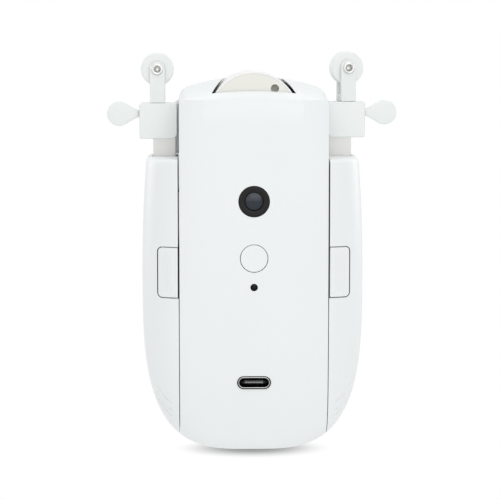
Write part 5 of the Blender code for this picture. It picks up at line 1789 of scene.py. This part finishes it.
@dataclass
class HangerArm:
    """A sprung arm: its block and post, the swivelling fork, the roller and its rivet, the thumb screw."""

    side: Side
    lift: float = 0.0
    twist: float = 0.0
    travel: float = 14.0 * MM
    inner_x: float = 21.75 * MM
    block_in: float = 0.3 * MM
    block_width: float = 10.4 * MM
    block_bottom: float = 88.6 * MM
    block_height: float = 10.1 * MM
    block_half: float = 4.2 * MM
    block_corner: float = 1.5 * MM
    block_edge: float = 0.35 * MM
    block_bend: float = 0.525 * MM
    post_gap: float = 0.3 * MM
    post_width: float = 6.5 * MM
    post_half: float = 3.6 * MM
    post_bottom: float = 65.7 * MM
    # A painted shade: the post's darker colour below the block, for the shade under it
    post_colour: Colour = (0.77, 0.76, 0.74)
    rod_radius: float = 1.5 * MM
    rod_bottom: float = 29.6 * MM
    spring_ends: Flat = (32.6 * MM, 62.6 * MM)
    spring_radius: float = 2.3 * MM
    spring_wire: float = 0.35 * MM
    spring_turns: int = 6
    spring_steps: int = 240
    fork_x: float = 27.0 * MM
    fork_bottom: float = 99.0 * MM
    fork_half: float = 2.15 * MM
    fork_base: float = 1.8 * MM
    fork_edge: float = 0.2 * MM
    pin_radius: float = 1.5 * MM
    pin_length: float = 7.0 * MM
    clear: float = 0.3 * MM
    block_gap: float = 0.06 * MM
    prong_in: float = 2.3 * MM
    prong_out: float = 3.5 * MM
    axle_rise: float = 9.3 * MM
    roller_radius: float = 4.7 * MM
    roller_half: float = 2.0 * MM
    roller_edge: float = 0.6 * MM
    rivet_radius: float = 1.3 * MM
    rivet_bore: float = 0.9 * MM
    rivet_head: float = 1.65 * MM
    rivet_head_in: float = 3.53 * MM
    rivet_out: float = 4.2 * MM
    rivet_colour: Colour = (0.7, 0.7, 0.69)
    rivet_roughness: float = 0.4
    clamp_z: float = 95.6 * MM
    clamp_radius: float = 0.95 * MM
    paddle_reach: float = 5.8 * MM
    paddle_radius: float = 3.5 * MM
    paddle_half: float = 1.1 * MM
    paddle_sweep: float = math.radians(118.0)
    paddle_edge: float = 0.5 * MM
    flare_curve: float = 1.25
    flare_steps: int = 14

    @property
    def _raise(self) -> Matrix:
        """The move that takes a drawn arm to the height it has at rest."""
        return at(0.0, self.lift)

    @property
    def _rod_x(self) -> float:
        """How far across the rod and its spring stand."""
        return self.side.value * (self.inner_x + self.post_width / 2)

    @property
    def _fork_place(self) -> Matrix:
        """The fork's own axes: its foot's middle, turned by its twist."""
        place = at(self.side.value * self.fork_x, self.fork_bottom + self.lift)
        return place @ Matrix.Rotation(self.twist, 4, "Z")

    def build(self) -> None:
        """Builds and dresses every piece of the arm."""
        word = self.side.word
        plain = FINISHES[Slot.WHITE_ARM]
        look = (plain.slot, plain.colour, plain.roughness, f"{word}_arm_plastic")
        line = self.block_bottom + self.lift
        # The arm's colour turns darker below the block's bottom, a painted shade on the post
        dress = TwoToneMoulding(*look, lower_colour=self.post_colour, line_z=line)
        self._arm().moved(self._raise).piece(f"{word}_arm", Slot.WHITE_ARM, f"{word}_arm", dress)
        self._arm_spring()
        self._clamp_screw().piece(f"{word}_clamp_screw", Slot.WHITE_ARM, f"{word}_clamp_screw")
        self._fork().moved(self._fork_place).piece(f"{word}_fork", Slot.WHITE_ARM, f"{word}_fork")
        axle = self._fork_place @ at(0.0, self.axle_rise)
        self._roller().moved(axle).piece(f"{word}_roller", Slot.WHITE_ARM, f"{word}_roller")
        bright = PlatedSteel(Slot.STEEL, self.rivet_colour, self.rivet_roughness, "rivet_steel")
        self._rivet().moved(axle).piece(f"{word}_axle", Slot.STEEL, f"{word}_fork", bright)

    @staticmethod
    def _upright(x: float, low: float, high: float, radius: float) -> Shape:
        """An upright bar with a soft lower end.

        Args:
            x: Its place across.
            low: The height of its lower end.
            high: The height of its upper end.
            radius: Its radius.

        Returns:
            The shape.
        """
        soft = radius / 5
        profile = [(0.0, low), (radius - soft, low), (radius, low + soft), (radius, high), (0.0, high)]
        return Shape.turned(profile, steps=40).moved(at(x, 0.0) @ Matrix.Rotation(QUARTER, 4, "X"))

    def _along(self, start: float, end: float, radius: float) -> Shape:
        """A bar along the thumb screw's axis, from one place out to another."""
        turn = Matrix.Rotation(-self.side.value * QUARTER, 4, "Z")
        return Shape.rod(start, end, radius).moved(at(0.0, self.clamp_z) @ turn)

    def _arm(self) -> Shape:
        """The block on its post, with the rod below and the holes for the fork's pin and the screw.

        Returns:
            The shape.
        """
        inner, outer = self.inner_x - self.block_in, self.inner_x + self.block_width
        bottom, top = self.block_bottom, self.block_bottom + self.block_height
        edge, bend = self.block_edge, self.block_bend
        corners = [(inner, bottom, self.block_corner), (outer, bottom, bend)]
        corners += [(outer, top, bend), (inner, top, bend)]
        outline = self.side.mirrored(rounded(corners))
        arm = Shape.slab(outline, -self.block_half, self.block_half, edge)
        across = (inner + self.post_gap, self.inner_x + self.post_width)
        up = (self.post_bottom, bottom + self.block_height / 2)
        post = self.side.mirrored(soft_oblong(across, up, bend, bend))
        arm.join(Shape.slab(post, -self.post_half, self.post_half, edge))
        rod_top = self.post_bottom + self.block_height
        arm.join(self._upright(self._rod_x, self.rod_bottom, rod_top, self.rod_radius))
        hole_bottom = self.fork_bottom - self.pin_length - self.clear
        hole_top = top + self.block_height
        fork_x = self.side.value * self.fork_x
        arm.cut(self._upright(fork_x, hole_bottom, hole_top, self.pin_radius + self.clear))
        arm.cut(self._along(self.fork_x, outer + self.block_width, self.clamp_radius + self.clear))
        return arm

    def _arm_spring(self) -> bpy.types.Object:
        """The coil spring round the rod, which is squeezed as the arm slides up.

        Returns:
            The piece.
        """
        word = self.side.word
        low, high = self.spring_ends[0] + self.lift, self.spring_ends[1]
        stand = Vector((self._rod_x, 0.0, low + self.spring_wire))
        rise = high - low - 2 * self.spring_wire
        wire = circle(self.spring_wire, steps=12)
        rings = []
        for i in range(self.spring_steps + 1):
            angle = 2 * math.pi * self.spring_turns * i / self.spring_steps
            out = Vector((math.cos(angle), math.sin(angle), 0.0))
            middle = stand + out * self.spring_radius + Vector((0.0, 0.0, rise * i / self.spring_steps))
            rings.append([middle + out * u + Vector((0.0, 0.0, v)) for u, v in wire])
        spring = Shape.loft(rings).piece(f"{word}_arm_spring", Slot.STEEL, "housing")
        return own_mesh(spring)

    def _clamp_screw(self) -> Shape:
        """The thumb screw: a flat teardrop paddle with soft edges on a thin shank.

        Returns:
            The shape.
        """
        outer = self.inner_x + self.block_width
        centre, neck, start = self.paddle_reach, self.clamp_radius, self.block_gap
        outline = arc((centre, 0.0), self.paddle_radius, -self.paddle_sweep, self.paddle_sweep, steps=48)
        shoulder_x, shoulder_z = outline[-1]
        flare = []
        for k in range(1, self.flare_steps + 1):
            left = 1 - k / self.flare_steps
            x = start + (shoulder_x - start) * left
            flare.append((x, neck + (shoulder_z - neck) * left**self.flare_curve))
        outline += flare + [(x, -z) for x, z in reversed(flare)]
        placed = self.side.mirrored((outer + x, self.clamp_z + z) for x, z in outline)
        screw = Shape.slab(placed, -self.paddle_half, self.paddle_half, self.paddle_edge, steps=5)
        tip = self.fork_x + self.pin_radius + self.clear
        screw.join(self._along(tip, outer + centre, neck - self.clear / 4))
        return screw.moved(self._raise)

    def _fork(self) -> Shape:
        """The fork about its foot, with its pin below.

        Returns:
            The shape.
        """
        half, edge, out = self.fork_half, self.fork_edge, self.prong_out
        head = arc((0.0, self.axle_rise), half, math.pi, 0.0, steps=28)
        sole = self.block_gap - self.clear
        foot = [(half, sole + edge), (half - edge, sole), (edge - half, sole), (-half, sole + edge)]
        fork = Shape.slab([*head, *foot], -out, out, edge)
        high = self.axle_rise + 2 * self.roller_radius
        fork.cut(Shape.block((-2 * half, -self.prong_in, self.fork_base), (2 * half, self.prong_in, high)))
        fork.join(self._upright(0.0, -self.pin_length, self.fork_base / 2, self.pin_radius))
        hole = Shape.rod(-2 * out, 2 * out, self.rivet_radius + self.clear / 6, steps=40)
        return fork.cut(hole.moved(at(0.0, self.axle_rise)))

    def _roller(self) -> Shape:
        """The roller about its axle, with soft shoulders.

        Returns:
            The shape.
        """
        radius, half, edge = self.roller_radius, self.roller_half, self.roller_edge
        bore = self.rivet_radius + self.clear
        profile = [(bore, edge - half), (bore + edge / 2, -half)]
        profile += arc((radius - edge, edge - half), edge, -QUARTER, 0.0, steps=6)
        profile += [(r, -y) for r, y in reversed(profile)]
        return Shape.turned(profile, steps=96, closed=True)

    def _rivet(self) -> Shape:
        """The rivet with its two rolled heads, hollow at both ends.

        Returns:
            The shape.
        """
        head_in, bore = self.rivet_head_in, self.rivet_bore
        soft = (self.rivet_out - head_in) / 2
        middle = self.rivet_out - soft
        profile = [(self.rivet_radius, head_in), (self.rivet_head - soft, head_in)]
        profile += arc((self.rivet_head - soft, middle), soft, -QUARTER, QUARTER, steps=6)[1:]
        profile += arc((bore + soft, middle), soft, QUARTER, 2 * QUARTER, steps=4)
        profile += [(bore, head_in - bore), (0.0, head_in - 2 * bore)]
        return Shape.turned([(r, -y) for r, y in reversed(profile)] + profile, steps=48)


@dataclass
class InnerWorks:
    """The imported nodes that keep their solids, which get the finish of their slot."""

    nodes: dict[str, bpy.types.Object]
    slots: dict[str, Slot]

    def dress(self) -> None:
        """Gives every node that still shows its finish."""
        for name, obj in self.nodes.items():
            if obj.hide_render:
                continue
            obj.data.materials.clear()
            obj.data.materials.append(FINISHES[self.slots[name]].material())
            LOG.info("%s keeps its solid, in %s", name, self.slots[name].value)


@dataclass(frozen=True)
class Lamp:
    """A square soft lamp, by its place, the length of its side and its power in watts."""

    name: str
    place: Triple
    size: float
    power: float


@dataclass
class Studio:
    """The white studio: its floor, its soft lamps, its surroundings and the camera."""

    aim: Triple = (-0.559 * MM, 0.0, 56.226 * MM)
    stand: Triple = (-16.219 * MM, -573.898 * MM, 119.612 * MM)
    lens: float = 144.0
    sensor_width: float = 36.0
    clip_start: float = 10.0 * MM
    floor_half: float = 3.0
    floor_cells: int = 8
    # Near the robot the floor's grey colour is a painted shadow, faded out into white over shadow_reach
    floor_colour: Colour = (0.42, 0.42, 0.42)
    shadow_reach: Flat = (4.0 * MM, 23.0 * MM)
    shadow_stretch: Triple = (1.0, 1.6, 1.0)
    shadow_shift: Triple = (0.0, 14.4 * MM, 0.0)
    floor_glow: float = 0.85
    world_level: float = 0.55
    lamps: tuple[Lamp, ...] = (
        Lamp("key", (0.3, -1.7, 0.9), 1.4, 6.7),
        Lamp("low", (0.0, -1.5, 0.05), 1.2, 4.6),
        Lamp("top", (0.0, 0.0, 1.5), 1.4, 8.0),
        Lamp("left", (-1.4, 0.9, 0.3), 1.0, 6.0),
        Lamp("right", (1.4, 0.9, 0.3), 1.0, 6.0),
    )

    def build(self) -> None:
        """Builds the whole studio."""
        self._camera()
        self._floor()
        self._surroundings()
        for lamp in self.lamps:
            self._lamp(lamp)
        bpy.context.scene.view_settings.view_transform = "Standard"

    def _aimed(self, obj: bpy.types.Object, place: Triple) -> None:
        """Stands a lamp or the camera at a place and points it at the robot."""
        obj.location = place
        obj.rotation_euler = (Vector(self.aim) - Vector(place)).to_track_quat("-Z", "Y").to_euler()

    def _camera(self) -> None:
        """The camera, at the place worked out from the photograph."""
        data = bpy.data.cameras.new("camera")
        data.lens = self.lens
        data.sensor_width = self.sensor_width
        data.clip_start = self.clip_start
        camera = linked("camera", data)
        self._aimed(camera, self.stand)
        bpy.context.scene.camera = camera

    def _lamp(self, lamp: Lamp) -> None:
        """Puts up a lamp.

        Args:
            lamp: The lamp.
        """
        data = bpy.data.lights.new(lamp.name, "AREA")
        data.size = lamp.size
        data.energy = lamp.power
        self._aimed(linked(lamp.name, data), lamp.place)

    def _floor(self) -> None:
        """A floor that takes the shadow near the robot and runs out into white; near the robot its grey
        colour is a painted shadow that deepens the real one, and for all rays but the camera's it mostly
        glows white, at floor_glow, to light the robot from below.
        """
        bm = bmesh.new()
        cells = self.floor_cells
        bmesh.ops.create_grid(bm, x_segments=cells, y_segments=cells, size=self.floor_half)
        mesh = bpy.data.meshes.new("floor")
        bm.to_mesh(mesh)
        bm.free()
        linked("floor", mesh)
        material = bpy.data.materials.new("pale_floor")
        material.use_nodes = True
        nodes = material.node_tree.nodes
        nodes.remove(nodes["Principled BSDF"])
        graph = Graph(material.node_tree)
        near, far = self.shadow_reach
        patch = {0: graph.place(), 1: self.shadow_stretch, 2: self.shadow_shift}
        scaled = graph.node("ShaderNodeVectorMath", {"operation": "MULTIPLY_ADD"}, patch)
        distance = graph.node("ShaderNodeVectorMath", {"operation": "LENGTH"}, {0: scaled}, output="Value")
        spread = {"Value": distance, "From Min": near, "From Max": far}
        away = graph.node("ShaderNodeMapRange", {"interpolation_type": "SMOOTHSTEP"}, spread)
        seen = graph.node("ShaderNodeLightPath", output="Is Camera Ray")
        # Painted shadow: the floor's grey colour near the robot
        matt = graph.node("ShaderNodeBsdfDiffuse", None, {"Color": (*self.floor_colour, 1.0)})
        white = graph.node("ShaderNodeEmission", None, {"Color": WHITE, "Strength": 1.0})
        share = away * seen + (1 - seen) * self.floor_glow
        mixed = graph.node("ShaderNodeMixShader", None, {0: share, 1: matt, 2: white})
        graph.feed(nodes["Material Output"].inputs["Surface"], mixed)
        mesh.materials.append(material)

    def _surroundings(self) -> None:
        """White all round for the camera and for reflections, and a softer light on the robot."""
        world = bpy.data.worlds.new("studio")
        bpy.context.scene.world = world
        world.use_nodes = True
        graph = Graph(world.node_tree)
        background = world.node_tree.nodes["Background"].inputs
        rays = ("Is Camera Ray", "Is Glossy Ray", "Is Transmission Ray")
        seen = [graph.node("ShaderNodeLightPath", output=ray) for ray in rays]
        shown = seen[0].at_least(seen[1]).at_least(seen[2])
        graph.feed(background["Color"], WHITE)
        graph.feed(background["Strength"], self.world_level + (1 - self.world_level) * shown)


def main() -> None:
    """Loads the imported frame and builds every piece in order."""
    logging.basicConfig(level=logging.INFO, format="%(name)s %(message)s")
    for obj in list(bpy.data.objects):
        bpy.data.objects.remove(obj, do_unlink=True)
    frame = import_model()
    slots = {entry["node"]: Slot(entry["material_slot"]) for entry in frame["record"]["subparts"]}
    Studio().build()
    CentreColumn().build()
    for side in Side:
        SideShell(side).build()
        ReleaseTab(side).build()
    DriveWheel().build()
    FrontFittings().build()
    HangerArm(Side.LEFT).build()
    HangerArm(Side.RIGHT, lift=0.35 * MM, twist=math.radians(8.0), travel=13.6 * MM).build()
    InnerWorks(frame["nodes"], slots).dress()


if __name__ == "__main__":
    main()
